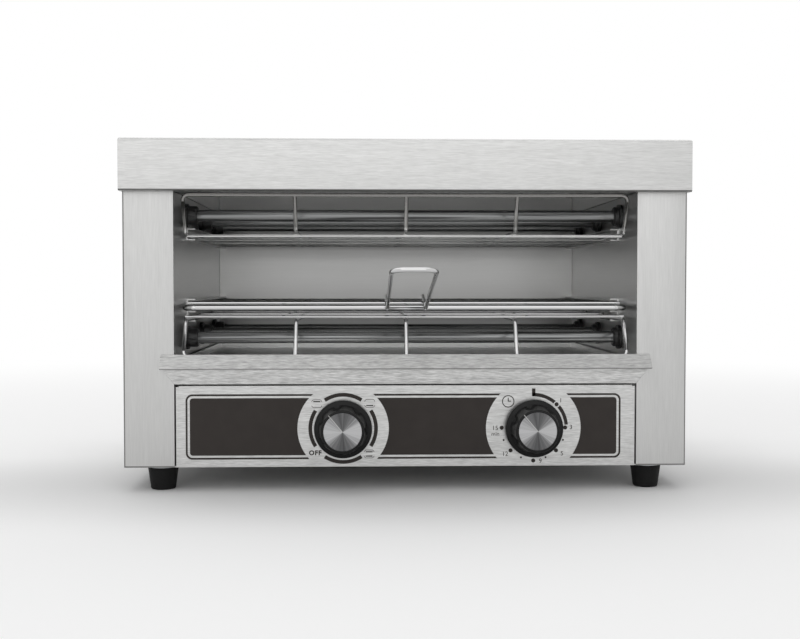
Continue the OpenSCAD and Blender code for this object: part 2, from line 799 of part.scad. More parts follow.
// Knob: a skirt with a soft rim, a tapered fluted grip, and a recess for the disc
module knob(x) {
    skirt_r = skirt_d / 2;
    skirt_t = 6.5;
    rim = 1.2;
    grip_z = knob_gap + skirt_t + rim;
    front_z = knob_gap + knob_depth;
    recess_t = disc_t - seam;
    color(black) knob_frame(x) difference() {
        union() {
            rotate_extrude() polygon([
                [0, knob_gap], [skirt_r - rim, knob_gap], [skirt_r, knob_gap + rim],
                [skirt_r, knob_gap + skirt_t - rim], [skirt_r - rim, knob_gap + skirt_t],
                [grip_base_d / 2, grip_z], [0, grip_z]
            ]);
            difference() {
                translate([0, 0, knob_gap + skirt_t])
                    cylinder(d1 = grip_base_d, d2 = grip_front_d, h = front_z - knob_gap - skirt_t);
                for (k = [0 : flutes - 1])
                    rotate(-pointer_angle + (k + 0.5) * 360 / flutes)
                        translate([0, (grip_base_d + flute_d) / 2 - flute_depth, grip_z])
                            cylinder(d = flute_d, h = knob_depth);
            }
        }
        translate([0, 0, front_z - recess_t]) cylinder(d = disc_d + seam, h = knob_depth);
        cylinder(d = nut_w * 1.3, h = nut_t + seam + knob_gap);
        cylinder(d = shaft_d, h = shaft_front);
    }
}
module selector_knob() knob(selector_x);
module timer_knob() knob(timer_x);

// Spun disc on a knob's front, with a fine pointer groove
module disc(x) {
    back_z = knob_gap + knob_depth - disc_t + seam;
    front_z = back_z + disc_t;
    edge = 0.4;
    groove_w = 0.6;
    groove_depth = 0.3;
    color(alloy) knob_frame(x) difference() {
        translate([0, 0, back_z]) rotate_extrude() polygon([
            [0, 0], [disc_d / 2, 0], [disc_d / 2, disc_t - edge], [disc_d / 2 - edge, disc_t], [0, disc_t]
        ]);
        rotate(-pointer_angle)
            block([-groove_w / 2, 0, front_z - groove_depth], [groove_w / 2, disc_d, front_z + disc_t]);
    }
}
module selector_disc() disc(selector_x);
module timer_disc() disc(timer_x);

// Shaft that a knob sits on
module shaft(x) color(zinc) knob_frame(x) translate([0, 0, -shaft_depth])
    cylinder(d = shaft_d, h = shaft_front + shaft_depth);
module selector_shaft() shaft(selector_x);
module timer_shaft() shaft(timer_x);

// Bush of a switch, through the panel
module bush() cylinder(d = bush_d, h = sheet + nut_t);

// Bore in which a shaft turns
module shaft_bore() translate([0, 0, -shaft_depth - seam - sheet])
    cylinder(d = shaft_d + 2 * shaft_clear, h = shaft_depth + nut_t + 4 * sheet);

// Rotary selector switch: a stack of wafers between two end plates
module selector_switch() {
    plate_t = 3;
    wafers = 4;
    wafer_pitch = (switch_len - 2 * plate_t) / wafers;
    color(lead_grey) knob_frame(selector_x) difference() {
        union() {
            translate([0, 0, -sheet]) bush();
            for (z = [-sheet - plate_t, -sheet - switch_len])
                translate([-switch_w / 2, -switch_w / 2, z]) cube([switch_w, switch_w, plate_t]);
            translate([0, 0, -sheet - switch_len]) cylinder(d = switch_w * 0.8, h = switch_len);
            for (k = [0 : wafers - 1])
                translate([0, 0, -sheet - plate_t - (k + 0.75) * wafer_pitch])
                    cylinder(d = switch_w * 0.95, h = wafer_pitch / 2);
        }
        shaft_bore();
    }
}

// Clockwork timer: a mounting plate, a round case and its bush
module timer_unit() {
    plate_t = 2;
    plate_w = timer_d + 4;
    color(zinc) knob_frame(timer_x) difference() {
        union() {
            translate([0, 0, -sheet]) bush();
            translate([-plate_w / 2, -plate_w / 2, -sheet - plate_t]) cube([plate_w, plate_w, plate_t]);
            translate([0, 0, -sheet - timer_len]) cylinder(d = timer_d, h = timer_len);
        }
        shaft_bore();
    }
}

// Hexagon nuts that hold the two switches to the panel
module panel_nuts() {
    color(zinc) for (x = [selector_x, timer_x]) knob_frame(x) difference() {
        cylinder(d = nut_w / cos(30), h = nut_t, $fn = 6);
        translate([0, 0, -sheet]) cylinder(d = bush_d + seam / 4, h = nut_t + 2 * sheet);
    }
}

// Terminal block on the base plate, with three wire ways
module terminal_block() {
    ways = 3;
    way_d = 5;
    color(ivory) in_frame() translate([gland_x, block_y, sheet]) difference() {
        translate([-block_w / 2, 0, 0]) cube([block_w, block_len, block_h]);
        for (k = [0 : ways - 1])
            translate([(k - (ways - 1) / 2) * block_w / ways, block_len / 2, block_h / 2])
                cylinder(d = way_d, h = block_h);
    }
}

// One lead from the terminal block along the base, then up and forward to a switch's back
module supply_lead(from_x, run_y, to_x, to_y) wire([
    [from_x, block_y, lead_z], [from_x, run_y, lead_z], [to_x, run_y, lead_z],
    [to_x, run_y, knob_z], [to_x, to_y, knob_z]
], [lead_r, lead_r, lead_r], lead_d);

// Leads from the terminal block to the two switches
module supply_leads() {
    near_y = block_y - lead_r - lead_d;
    far_y = near_y - 2 * lead_r;
    color(black) in_frame() {
        supply_lead(gland_x, far_y, selector_x, sheet + switch_len);
        supply_lead(gland_x + block_w / 3, near_y, timer_x, sheet + timer_len);
    }
}

// One lead of the left (-1) or right (1) bus bars, from row k through the inner wall to a switch's back
module heater_lead(side, k, to_x, to_y) {
    out_x = side * (bus_x + sheet + (lead_d + seam) / 2);
    in_x = to_x + side * lead_spread * (1 - 2 * k);
    in_z = knob_z + lead_spread;
    y = lead_ys[k];
    wire([
        [out_x, y, row_zs[k]], [out_x, y, lead_hole_z], [in_x, y, lead_hole_z],
        [in_x, y, in_z], [in_x, to_y, in_z]
    ], [lead_r, lead_r, lead_r], lead_d);
}

// Leads from the bus bars down the side boxes and on to the two switches
module heater_leads() {
    color(black) in_frame() for (k = [0 : 1]) {
        heater_lead(-1, k, selector_x, sheet + switch_len);
        heater_lead(1, k, timer_x, sheet + timer_len);
    }
}

// Cable gland in the rear panel: thread, hexagon and dome round an open bore
module cable_gland() {
    hex_t = 6;
    thread_len = 9;
    nose = 5;
    color(black) in_frame() translate([gland_x, body_d, gland_z]) rotate([-90, 0, 0]) difference() {
        union() {
            translate([0, 0, -thread_len - sheet]) cylinder(d = gland_d, h = thread_len + sheet + hex_t);
            cylinder(d = gland_hex_d, h = hex_t, $fn = 6);
            translate([0, 0, hex_t]) cylinder(d = gland_dome_d, h = gland_len - hex_t - nose);
            translate([0, 0, gland_len - nose])
                cylinder(d1 = gland_dome_d, d2 = gland_bore + nose, h = nose);
        }
        translate([0, 0, -thread_len - 2 * sheet])
            cylinder(d = gland_bore, h = gland_len + thread_len + 3 * sheet);
    }
}

// Nut on the gland's thread, inside the rear panel
module gland_nut() {
    nut_h = 4;
    color(black) in_frame() translate([gland_x, rear_y - nut_h, gland_z]) rotate([-90, 0, 0])
        difference() {
            cylinder(d = gland_hex_d, h = nut_h, $fn = 6);
            translate([0, 0, -sheet]) cylinder(d = gland_d + seam / 4, h = nut_h + 2 * sheet);
        }
}

// Rubber foot: a cone with a soft lower edge and a recess for its screw
module foot(k) {
    edge = 1.5;
    low_r = foot_low_d / 2;
    cone_h = foot_h - edge - washer_t;
    color(black) in_frame() translate(foot_places[k]) difference() {
        union() {
            translate([0, 0, -foot_h + edge]) cylinder(r1 = low_r, d2 = foot_top_d, h = cone_h);
            translate([0, 0, -foot_h]) cylinder(r = low_r - edge, h = edge);
            translate([0, 0, -foot_h + edge]) rotate_extrude() intersection() {
                translate([low_r - edge, 0]) circle(edge);
                translate([0, -edge]) square([low_r, edge]);
            }
        }
        translate([0, 0, -foot_h - edge]) cylinder(d = foot_recess_d, h = foot_recess_h + edge);
        translate([0, 0, -foot_h]) cylinder(d = screw_d + seam, h = foot_h);
    }
}
module front_left_foot() foot(0);
module front_right_foot() foot(1);
module rear_left_foot() foot(2);
module rear_right_foot() foot(3);

// Plain washers between the base plate and the feet
module foot_washers() {
    color(zinc) in_frame() for (p = foot_places) translate([p.x, p.y, -washer_t]) difference() {
        cylinder(d = foot_top_d - 1, h = washer_t);
        translate([0, 0, -sheet]) cylinder(d = screw_d + seam, h = washer_t + 2 * sheet);
    }
}

// Round head and shank of a screw that points along +Z
module screw(len) {
    head_h = 2.4;
    translate([0, 0, -head_h]) cylinder(d1 = screw_d * 1.4, d2 = screw_d * 2, h = head_h);
    cylinder(d = screw_d, h = len);
}

// Screws that hold the feet
module foot_screws() {
    color(zinc) in_frame() for (p = foot_places)
        translate([p.x, p.y, foot_recess_h - foot_h]) screw(foot_h - foot_recess_h + 4 * sheet);
}

// Screws of the rear panel, into the side panels' rear folds
module back_screws() {
    color(zinc) in_frame() for (p = back_screw_places)
        translate([p.x, body_d, p.y]) rotate([90, 0, 0]) screw(sheet);
}

top_cap();
left_side_panel();
right_side_panel();
left_liner();
right_liner();
rear_liner();
back_panel();
base_plate();
deck();
control_panel();
ceiling_pan();
crumb_tray();
rack_frame();
rack_handle();
upper_guard();
lower_guard();
left_upper_runner();
right_upper_runner();
left_rack_runner();
right_rack_runner();
left_lower_runner();
right_lower_runner();
upper_front_tube();
upper_middle_tube();
upper_rear_tube();
lower_front_tube();
lower_middle_tube();
lower_rear_tube();
upper_coils();
lower_coils();
upper_terminals();
lower_terminals();
upper_left_holders();
upper_right_holders();
lower_left_holders();
lower_right_holders();
left_bus_bars();
right_bus_bars();
selector_knob();
selector_disc();
selector_shaft();
selector_switch();
timer_knob();
timer_disc();
timer_shaft();
timer_unit();
panel_nuts();
terminal_block();
supply_leads();
heater_leads();
cable_gland();
gland_nut();
front_left_foot();
front_right_foot();
rear_left_foot();
rear_right_foot();
foot_washers();
foot_screws();
back_screws();
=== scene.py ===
"""Looks of a one-level quartz toaster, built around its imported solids, in metres."""
import json
import math

import bmesh
import bpy
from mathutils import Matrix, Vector


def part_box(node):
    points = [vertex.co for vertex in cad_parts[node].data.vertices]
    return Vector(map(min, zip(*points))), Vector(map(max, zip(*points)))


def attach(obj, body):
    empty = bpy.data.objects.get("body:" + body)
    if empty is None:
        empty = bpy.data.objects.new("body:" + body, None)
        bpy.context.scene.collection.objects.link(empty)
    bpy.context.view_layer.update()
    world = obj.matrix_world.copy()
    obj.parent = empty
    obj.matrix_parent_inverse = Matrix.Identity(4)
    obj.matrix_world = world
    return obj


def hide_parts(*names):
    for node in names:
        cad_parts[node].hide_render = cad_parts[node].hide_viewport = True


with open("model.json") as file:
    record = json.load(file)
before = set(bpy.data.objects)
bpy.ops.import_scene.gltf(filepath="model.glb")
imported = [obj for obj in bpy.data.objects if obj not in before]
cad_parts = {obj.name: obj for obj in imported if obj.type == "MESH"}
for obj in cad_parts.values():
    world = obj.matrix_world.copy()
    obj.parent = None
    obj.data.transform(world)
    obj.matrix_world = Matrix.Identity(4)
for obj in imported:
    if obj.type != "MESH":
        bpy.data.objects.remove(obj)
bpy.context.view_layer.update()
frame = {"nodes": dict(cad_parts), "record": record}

MM = 0.001


def middle(node):
    """Middle of a node's box."""
    low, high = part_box(node)
    return (low + high) / 2


def size_of(node):
    """Size of a node's box."""
    low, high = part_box(node)
    return high - low


# Places taken from the frame
panel_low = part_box("control_panel")[0]
FRONT_Y = panel_low.y
BOTTOM_Z = panel_low.z
guard_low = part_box("upper_guard")[0]


def axis_of(knob):
    """Point where a knob's axis meets the panel's front."""
    return Vector((middle(knob).x, FRONT_Y, middle(knob).z))


selector_axis = axis_of("selector_knob")
timer_axis = axis_of("timer_knob")

# Colours
CAP_STEEL = "#c0c0bf"
SIDE_STEEL = "#bdbdbc"
PANEL_STEEL = "#c3c3c2"
RAIL_STEEL = "#c0c0bf"
LIP_STEEL = "#aaaaa9"
# Tones of the satin cavity steel; the liner and inside tones are made lighter as painted light
LINER_STEEL = "#d0d0cf"
REAR_STEEL = "#b2b2b1"
INNER_LIT_TONE = "#f4f4f3"
# Painted shade for the dark lines along sheet edges
EDGE_PAINTED_SHADE = "#7c7c7b"
CHROME = "#c6c6c6"
LOW_WIRE = "#e0e0df"
# Painted shade for the upper guard's higher wires
WIRE_PAINTED_SHADE = "#8a8987"
INK = "#393533"
KNOB_BLACK = "#141414"
HOLDER_BLACK = "#1f1f1f"
RUBBER_BLACK = "#101010"
ZINC = "#b4b6b8"
QUARTZ = "#888989"
POINTER_WHITE = "#bdbdbb"
IVORY = "#d6d2c6"
# Painted shade, midtone and highlight of the spun discs
SPUN_PAINTED_SHADE = "#4e4e4f"
SPUN_PAINTED_MIDTONE = "#747475"
SPUN_PAINTED_HIGHLIGHT = "#b9b9ba"
# Painted shadow round the toaster on the floor
FLOOR_PAINTED_SHADOW = "#dadada"
FLOOR_PALE = "#fbfbfb"
WHITE = "#ffffff"


def srgb(code):
    """Linear colour of an sRGB hex value."""
    parts = [int(code[i:i + 2], 16) / 255 for i in (1, 3, 5)]
    linear = [c / 12.92 if c <= 0.04045 else ((c + 0.055) / 1.055) ** 2.4 for c in parts]
    return (*linear, 1.0)


def shade(code, share):
    """A hex colour's linear value, made lighter or darker by a share."""
    r, g, b, a = srgb(code)
    return (r * share, g * share, b * share, a)


def add(tree, kind, inputs=None, **settings):
    """Adds a node. Its inputs take a value or the socket that feeds them."""
    made = tree.nodes.new("ShaderNode" + kind)
    for name, value in settings.items():
        setattr(made, name, value)
    for name, value in (inputs or {}).items():
        if isinstance(value, bpy.types.NodeSocket):
            tree.links.new(value, made.inputs[name])
        else:
            made.inputs[name].default_value = value
    return made


def start_material(name, **values):
    """A new material, its node tree and its shader, with the shader's plain values set."""
    made = bpy.data.materials.new(name)
    made.use_nodes = True
    shader = made.node_tree.nodes["Principled BSDF"]
    for socket, value in values.items():
        shader.inputs[socket.replace("_", " ")].default_value = value
    return made, made.node_tree, shader


# Most values of a noise texture lie between these two
NOISE_LOW = 0.3
NOISE_HIGH = 0.7

# Brushed sheet: scale and weight of broad bands against the hairlines, and how roughness follows relief
BAND_SCALE = 0.22
BAND_SHARE = 0.2
ROUGH_SWING = 0.4


def brushed_stainless(name, tone, streak, contrast, roughness, relief=0.12):
    """Stainless sheet brushed by a belt along one axis. Its hairlines break the surface into fine light
    and dark streaks. streak is the size of a hairline along X, Y and Z. Real hairlines are under 0.1 mm
    wide, so they are drawn 0.5 to 1.4 mm wide to show at all."""
    made, tree, shader = start_material(name, Metallic=1.0)
    place = add(tree, "TexCoord").outputs["Object"]
    fine = add(tree, "Mapping", {"Vector": place, "Scale": [1 / s for s in streak]})
    hair = add(tree, "TexNoise", {"Vector": fine.outputs[0], "Scale": 1.0, "Detail": 3.0,
                                  "Roughness": 0.6})
    wide = add(tree, "Mapping", {"Vector": place, "Scale": [BAND_SCALE / s for s in streak]})
    band = add(tree, "TexNoise", {"Vector": wide.outputs[0], "Scale": 1.0, "Detail": 2.0})
    both = add(tree, "Mix", {"Factor": BAND_SHARE, "A": hair.outputs["Fac"], "B": band.outputs["Fac"]})
    color = add(tree, "ValToRGB", {"Fac": both.outputs[0]})
    color.color_ramp.elements[0].position = NOISE_LOW
    color.color_ramp.elements[0].color = shade(tone, 1 - contrast)
    color.color_ramp.elements[1].position = NOISE_HIGH
    color.color_ramp.elements[1].color = shade(tone, 1 + contrast)
    swing = ROUGH_SWING * relief
    rough = add(tree, "MapRange", {"Value": both.outputs[0], "From Min": NOISE_LOW, "From Max": NOISE_HIGH,
                                   "To Min": roughness + swing, "To Max": roughness - swing})
    bump = add(tree, "Bump", {"Height": hair.outputs["Fac"], "Strength": relief, "Distance": 0.1 * MM})
    tree.links.new(color.outputs["Color"], shader.inputs["Base Color"])
    tree.links.new(rough.outputs["Result"], shader.inputs["Roughness"])
    tree.links.new(bump.outputs["Normal"], shader.inputs["Normal"])
    return made


WIRE_HAZE = 2.5 * MM


def plated_wire(name, low_tone, high_tone, low_z=0.0, high_z=1.0):
    """Bright nickel-chrome plate on drawn wire: mirror-like, with a faint haze in small patches from the
    drawing die. Its tone may change with height, from low_z to high_z, as painted shade that darkens the
    wires higher up."""
    made, tree, shader = start_material(name, Metallic=1.0)
    place = add(tree, "TexCoord").outputs["Object"]
    haze = add(tree, "TexNoise", {"Vector": place, "Scale": 1 / WIRE_HAZE, "Detail": 2.0})
    height = add(tree, "SeparateXYZ", {"Vector": place})
    # Painted shade: the tone darkens from low_z to high_z
    painted_shade_rise = add(tree, "MapRange", {"Value": height.outputs["Z"], "From Min": low_z, "From Max": high_z})
    uneven = add(tree, "MapRange", {"Value": haze.outputs["Fac"], "To Min": -0.1, "To Max": 0.1})
    share = add(tree, "Math", {0: painted_shade_rise.outputs["Result"], 1: uneven.outputs["Result"]}, operation="ADD")
    color = add(tree, "Mix", {"Factor": share.outputs[0], "A": srgb(low_tone), "B": srgb(high_tone)},
                data_type="RGBA")
    rough = add(tree, "MapRange", {"Value": haze.outputs["Fac"], "To Min": 0.03, "To Max": 0.09})
    bump = add(tree, "Bump", {"Height": haze.outputs["Fac"], "Strength": 0.03, "Distance": 0.02 * MM})
    tree.links.new(color.outputs["Result"], shader.inputs["Base Color"])
    tree.links.new(rough.outputs["Result"], shader.inputs["Roughness"])
    tree.links.new(bump.outputs["Normal"], shader.inputs["Normal"])
    return made


# Moulded surfaces: size and strength of faint clouds in the colour, and how roughness follows the grain
CLOUD = 12 * MM
CLOUD_SHARE = 0.12
GRAIN_SWING = 0.06


def moulded(name, tone, roughness, grit, depth, **values):
    """A moulded, plated or printed surface: a nearly even colour with the fine grain that the mould, the
    plating bath or the printing screen leaves. grit is the size of that grain and depth its height. Real
    grain is under 0.1 mm and is drawn coarser to show."""
    made, tree, shader = start_material(name, **values)
    place = add(tree, "TexCoord").outputs["Object"]
    grain = add(tree, "TexNoise", {"Vector": place, "Scale": 1 / grit, "Detail": 2.0})
    cloud = add(tree, "TexNoise", {"Vector": place, "Scale": 1 / CLOUD, "Detail": 2.0})
    color = add(tree, "Mix", {"Factor": cloud.outputs["Fac"], "A": shade(tone, 1 - CLOUD_SHARE),
                              "B": shade(tone, 1 + CLOUD_SHARE)}, data_type="RGBA")
    rough = add(tree, "MapRange", {"Value": grain.outputs["Fac"], "From Min": NOISE_LOW,
                                   "From Max": NOISE_HIGH, "To Min": roughness - GRAIN_SWING,
                                   "To Max": roughness + GRAIN_SWING})
    bump = add(tree, "Bump", {"Height": grain.outputs["Fac"], "Strength": 0.35, "Distance": depth})
    tree.links.new(color.outputs["Result"], shader.inputs["Base Color"])
    tree.links.new(rough.outputs["Result"], shader.inputs["Roughness"])
    tree.links.new(bump.outputs["Normal"], shader.inputs["Normal"])
    return made


RING_GAP = 0.5 * MM
PAINTED_GLINT_SHARE = 0.75


def spun_aluminium(name, axis):
    """Aluminium faced on a lathe, with fine rings round its axis in its bump. Its colour is painted: bright
    painted highlight wedges to the left and right, painted shade at the top and bottom, and thin painted
    glints as rays. The rings are 0.1 mm apart on a real disc and are drawn 0.5 mm apart to show."""
    made, tree, shader = start_material(name, Metallic=1.0, Anisotropic=0.6)
    place = add(tree, "TexCoord").outputs["Object"]
    centred = add(tree, "Mapping", {"Vector": place, "Location": [-axis.x, -axis.y, -axis.z]})
    parts = add(tree, "SeparateXYZ", {"Vector": centred.outputs[0]})
    turn = add(tree, "Math", {0: parts.outputs["Z"], 1: parts.outputs["X"]}, operation="ARCTAN2")
    twice = add(tree, "Math", {0: turn.outputs[0], 1: 2.0}, operation="MULTIPLY")
    # Painted highlight: bright wedges left and right, painted shade top and bottom, with painted glints as
    # rays
    painted_wedge = add(tree, "Math", {0: twice.outputs[0]}, operation="COSINE")
    ray_turn = add(tree, "CombineXYZ", {"X": turn.outputs[0]})
    rays = add(tree, "TexNoise", {"Vector": ray_turn.outputs[0], "Scale": 3.6, "Detail": 5.0,
                                  "Roughness": 0.75})
    painted_glint_share = add(tree, "MapRange", {"Value": rays.outputs["Fac"], "From Min": NOISE_LOW,
                                       "From Max": NOISE_HIGH, "To Min": -PAINTED_GLINT_SHARE, "To Max": PAINTED_GLINT_SHARE})
    light = add(tree, "Math", {0: painted_wedge.outputs[0], 1: painted_glint_share.outputs["Result"]}, operation="ADD")
    spread = add(tree, "MapRange", {"Value": light.outputs[0], "From Min": -1.5, "From Max": 1.2})
    color = add(tree, "ValToRGB", {"Fac": spread.outputs["Result"]})
    color.color_ramp.elements[0].position = 0.05
    color.color_ramp.elements[0].color = srgb(SPUN_PAINTED_SHADE)
    color.color_ramp.elements[1].position = 0.9
    color.color_ramp.elements[1].color = srgb(SPUN_PAINTED_HIGHLIGHT)
    dim = color.color_ramp.elements.new(0.45)
    dim.color = srgb(SPUN_PAINTED_MIDTONE)
    flat = add(tree, "CombineXYZ", {"X": parts.outputs["X"], "Y": parts.outputs["Z"]})
    radius = add(tree, "VectorMath", {0: flat.outputs[0]}, operation="LENGTH")
    ring = add(tree, "Math", {0: radius.outputs["Value"], 1: 2 * math.pi / RING_GAP}, operation="MULTIPLY")
    groove = add(tree, "Math", {0: ring.outputs[0]}, operation="SINE")
    rough = add(tree, "MapRange", {"Value": rays.outputs["Fac"], "To Min": 0.24, "To Max": 0.4})
    bump = add(tree, "Bump", {"Height": groove.outputs[0], "Strength": 0.25, "Distance": 0.02 * MM})
    tree.links.new(color.outputs["Color"], shader.inputs["Base Color"])
    tree.links.new(rough.outputs["Result"], shader.inputs["Roughness"])
    tree.links.new(bump.outputs["Normal"], shader.inputs["Normal"])
    return made


def quartz_painted_bands(name, tone, line):
    """Milky quartz drawn as a tube: glossy, with darker painted bands along X that stand for reflections on
    the tubes. line is the size of such a band along X, Y and Z. Metallic is far above that of quartz, to
    match how strongly the tubes mirror the cavity."""
    made, tree, shader = start_material(name, Metallic=0.6)
    place = add(tree, "TexCoord").outputs["Object"]
    along = add(tree, "Mapping", {"Vector": place, "Scale": [1 / s for s in line]})
    # Painted reflection bands: dark and light stripes along the tube
    drawn = add(tree, "TexNoise", {"Vector": along.outputs[0], "Scale": 1.0, "Detail": 2.0})
    color = add(tree, "ValToRGB", {"Fac": drawn.outputs["Fac"]})
    color.color_ramp.elements[0].position = 0.4
    color.color_ramp.elements[0].color = shade(tone, 0.3)
    color.color_ramp.elements[1].position = 0.52
    color.color_ramp.elements[1].color = shade(tone, 1.1)
    rough = add(tree, "MapRange", {"Value": drawn.outputs["Fac"], "To Min": 0.08, "To Max": 0.2})
    tree.links.new(color.outputs["Color"], shader.inputs["Base Color"])
    tree.links.new(rough.outputs["Result"], shader.inputs["Roughness"])
    return made


# Stainless sheet brushed along X or Z: streaks that blur what the sheet mirrors
CAP_STREAK = (9 * MM, 0.5 * MM, 0.5 * MM)
X_STREAK = (7 * MM, 0.5 * MM, 0.5 * MM)
Z_STREAK = (0.7 * MM, 0.7 * MM, 20 * MM)
cap_steel = brushed_stainless("stainless_brushed_cap", CAP_STEEL, CAP_STREAK,
                              contrast=0.12, roughness=0.34)
panel_steel = brushed_stainless("stainless_brushed_panel", PANEL_STEEL, X_STREAK,
                                contrast=0.24, roughness=0.36)
rail_steel = brushed_stainless("stainless_brushed_rail", RAIL_STEEL, X_STREAK,
                               contrast=0.4, roughness=0.36)
lip_steel = brushed_stainless("stainless_brushed_lip", LIP_STEEL, X_STREAK,
                              contrast=0.4, roughness=0.36)
side_steel = brushed_stainless("stainless_brushed_side", SIDE_STEEL, Z_STREAK,
                               contrast=0.06, roughness=0.36)

# Satin sheet inside the cavity: even and soft, hardly streaked. The side walls take a tone lighter than the
# outside and the ceiling and the tray's inside a near-white one, as painted light in the dim cavity; the
# rear wall takes a darker tone
LINER_STREAK = (60 * MM, 60 * MM, 1.4 * MM)
liner_steel = brushed_stainless("stainless_satin_liner", LINER_STEEL, LINER_STREAK,
                                contrast=0.02, roughness=0.3, relief=0.01)
rear_steel = brushed_stainless("stainless_satin_rear", REAR_STEEL, LINER_STREAK,
                               contrast=0.02, roughness=0.3, relief=0.01)
inner_painted_light = brushed_stainless("stainless_inside_painted_light", INNER_LIT_TONE, X_STREAK,
                                contrast=0.06, roughness=0.3, relief=0.03)

# Painted shade along sheet edges: a dark, dull line that stands for the thin shadow line at an edge
edge_painted_shade = brushed_stainless("stainless_edge_painted_shade", EDGE_PAINTED_SHADE, X_STREAK,
                               contrast=0.1, roughness=0.5)

# Plated wire: thin bright lines, with painted shade that darkens the upper guard above its lowest wires
BRIGHT_TO = 3 * MM
PAINTED_SHADE_FROM = 9 * MM
chrome = plated_wire("bright_plated_wire", CHROME, CHROME)
chrome_painted_shade = plated_wire("plated_wire_painted_shade", LOW_WIRE, WIRE_PAINTED_SHADE,
                          guard_low.z + BRIGHT_TO, guard_low.z + PAINTED_SHADE_FROM)

# Black phenolic: a soft sheen. Black steatite: a little glossier. Rubber: matt
knob_black = moulded("phenolic_black", KNOB_BLACK, roughness=0.38, grit=0.5 * MM, depth=0.03 * MM,
                     Specular_IOR_Level=0.2)
holder_black = moulded("steatite_black", HOLDER_BLACK, roughness=0.34, grit=0.7 * MM, depth=0.05 * MM)
rubber = moulded("rubber_black", RUBBER_BLACK, roughness=0.62, grit=0.8 * MM, depth=0.06 * MM,
                 Specular_IOR_Level=0.2)

# Switch plastic: pale and satin. Zinc plate: a half-bright grey
ivory = moulded("switch_plastic", IVORY, roughness=0.5, grit=0.6 * MM, depth=0.03 * MM)
zinc = moulded("zinc_plate", ZINC, roughness=0.35, grit=0.6 * MM, depth=0.02 * MM, Metallic=1.0)

# Screen ink: a flat brownish dark. Pointer lacquer: a thin pale line
ink = moulded("screen_ink_dark", INK, roughness=0.5, grit=0.7 * MM, depth=0.02 * MM,
              Specular_IOR_Level=0.1)
pointer_white = moulded("pointer_lacquer", POINTER_WHITE, roughness=0.4, grit=0.5 * MM, depth=0.01 * MM)

# Quartz tubes with painted reflection bands, and the discs in the knobs with painted highlights and shade
QUARTZ_BAND = (150 * MM, 3 * MM, 3 * MM)
quartz = quartz_painted_bands("quartz_milky", QUARTZ, QUARTZ_BAND)
selector_alloy = spun_aluminium("spun_aluminium_selector", selector_axis)
timer_alloy = spun_aluminium("spun_aluminium_timer", timer_axis)

FINISHES = {
    "brushed_shell": panel_steel, "satin_liner": liner_steel, "chromed_wire": chrome, "quartz": quartz,
    "heating_wire": zinc, "zinc_plate": zinc, "black_moulding": holder_black, "spun_alloy": selector_alloy,
    "switch_moulding": ivory, "lead_sleeve": rubber, "black_rubber": rubber,
}
SLOTS = {entry["node"]: entry["material_slot"] for entry in frame["record"]["subparts"]}
BODIES = {node: body for body, nodes in frame["record"]["behaviour"]["bodies"].items() for node in nodes}
for node, slot in SLOTS.items():
    shown = frame["nodes"][node]
    shown.data.materials.clear()
    shown.data.materials.append(FINISHES[slot])
# The ceiling takes the near-white tone of painted light; the rear wall a darker tone
for node, finish in (("back_panel", cap_steel), ("ceiling_pan", inner_painted_light), ("rear_liner", rear_steel)):
    frame["nodes"][node].data.materials[0] = finish


def activate(piece):
    """Makes a piece the only one selected."""
    bpy.ops.object.select_all(action="DESELECT")
    piece.select_set(True)
    bpy.context.view_layer.objects.active = piece


def start_edit(piece, level):
    """Opens a piece in edit mode with nothing selected."""
    activate(piece)
    bpy.ops.object.mode_set(mode="EDIT")
    bpy.ops.mesh.select_mode(type=level)
    bpy.ops.mesh.select_all(action="DESELECT")


def end_edit():
    """Goes back to object mode."""
    bpy.ops.object.mode_set(mode="OBJECT")


def pick(piece, kind, test):
    """Selects only the faces or edges of an open piece that pass a test."""
    bpy.ops.mesh.select_all(action="DESELECT")
    mesh = bmesh.from_edit_mesh(piece.data)
    for item in getattr(mesh, kind):
        if test(item):
            item.select_set(True)
    bmesh.update_edit_mesh(piece.data)


def y_run(edge):
    """How far an edge runs along Y."""
    return abs(edge.verts[0].co.y - edge.verts[1].co.y)


def settle():
    """Puts the active piece's place into its mesh."""
    bpy.ops.object.transform_apply(location=True, rotation=True, scale=True)


def smooth(fold):
    """Shades the active piece smooth across edges that fold by less than an angle in degrees."""
    bpy.ops.object.shade_smooth_by_angle(angle=math.radians(fold))


def hand_in(piece, finish, slot, body, *stands_for):
    """Gives a finished piece its look and the body it rides on. Its slot is not used."""
    piece.data.materials.clear()
    piece.data.materials.append(finish)
    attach(piece, body)
    if stands_for:
        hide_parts(*stands_for)


# Points nearer than MERGE are one point, and faces within so many degrees of each other one flat face
MERGE = 0.002 * MM
FLATNESS = 0.5
TRAY_FLATNESS = 0.01


def copy_of(node, name, flatness=FLATNESS):
    """A new piece with a node's own shape, its loose triangles merged to faces that are flat within an
    angle in degrees."""
    made = bpy.data.objects.new(name, frame["nodes"][node].data.copy())
    bpy.context.scene.collection.objects.link(made)
    start_edit(made, "VERT")
    bpy.ops.mesh.select_all(action="SELECT")
    bpy.ops.mesh.remove_doubles(threshold=MERGE)
    bpy.ops.mesh.dissolve_limited(angle_limit=math.radians(flatness))
    end_edit()
    return made


# Least fold, in degrees, that stays sharp on wires and tubes and on turned and moulded pieces
WIRE_FOLD = 40
TURNED_FOLD = 30


def smoothed(node, finish, fold=WIRE_FOLD):
    """A node's shape with round stretches shaded smooth."""
    piece = copy_of(node, node + "_smooth")
    smooth(fold)
    hand_in(piece, finish, SLOTS[node], BODIES[node], node)


# Rounding of a sheet's edges, and the least length and fold of an edge that is rounded
EDGE_ROUND = 0.42 * MM
LONG_EDGE = 8 * MM
SHARP_FOLD = 50
SHEET_FOLD = 20
MITRE_RUN = 2 * MM


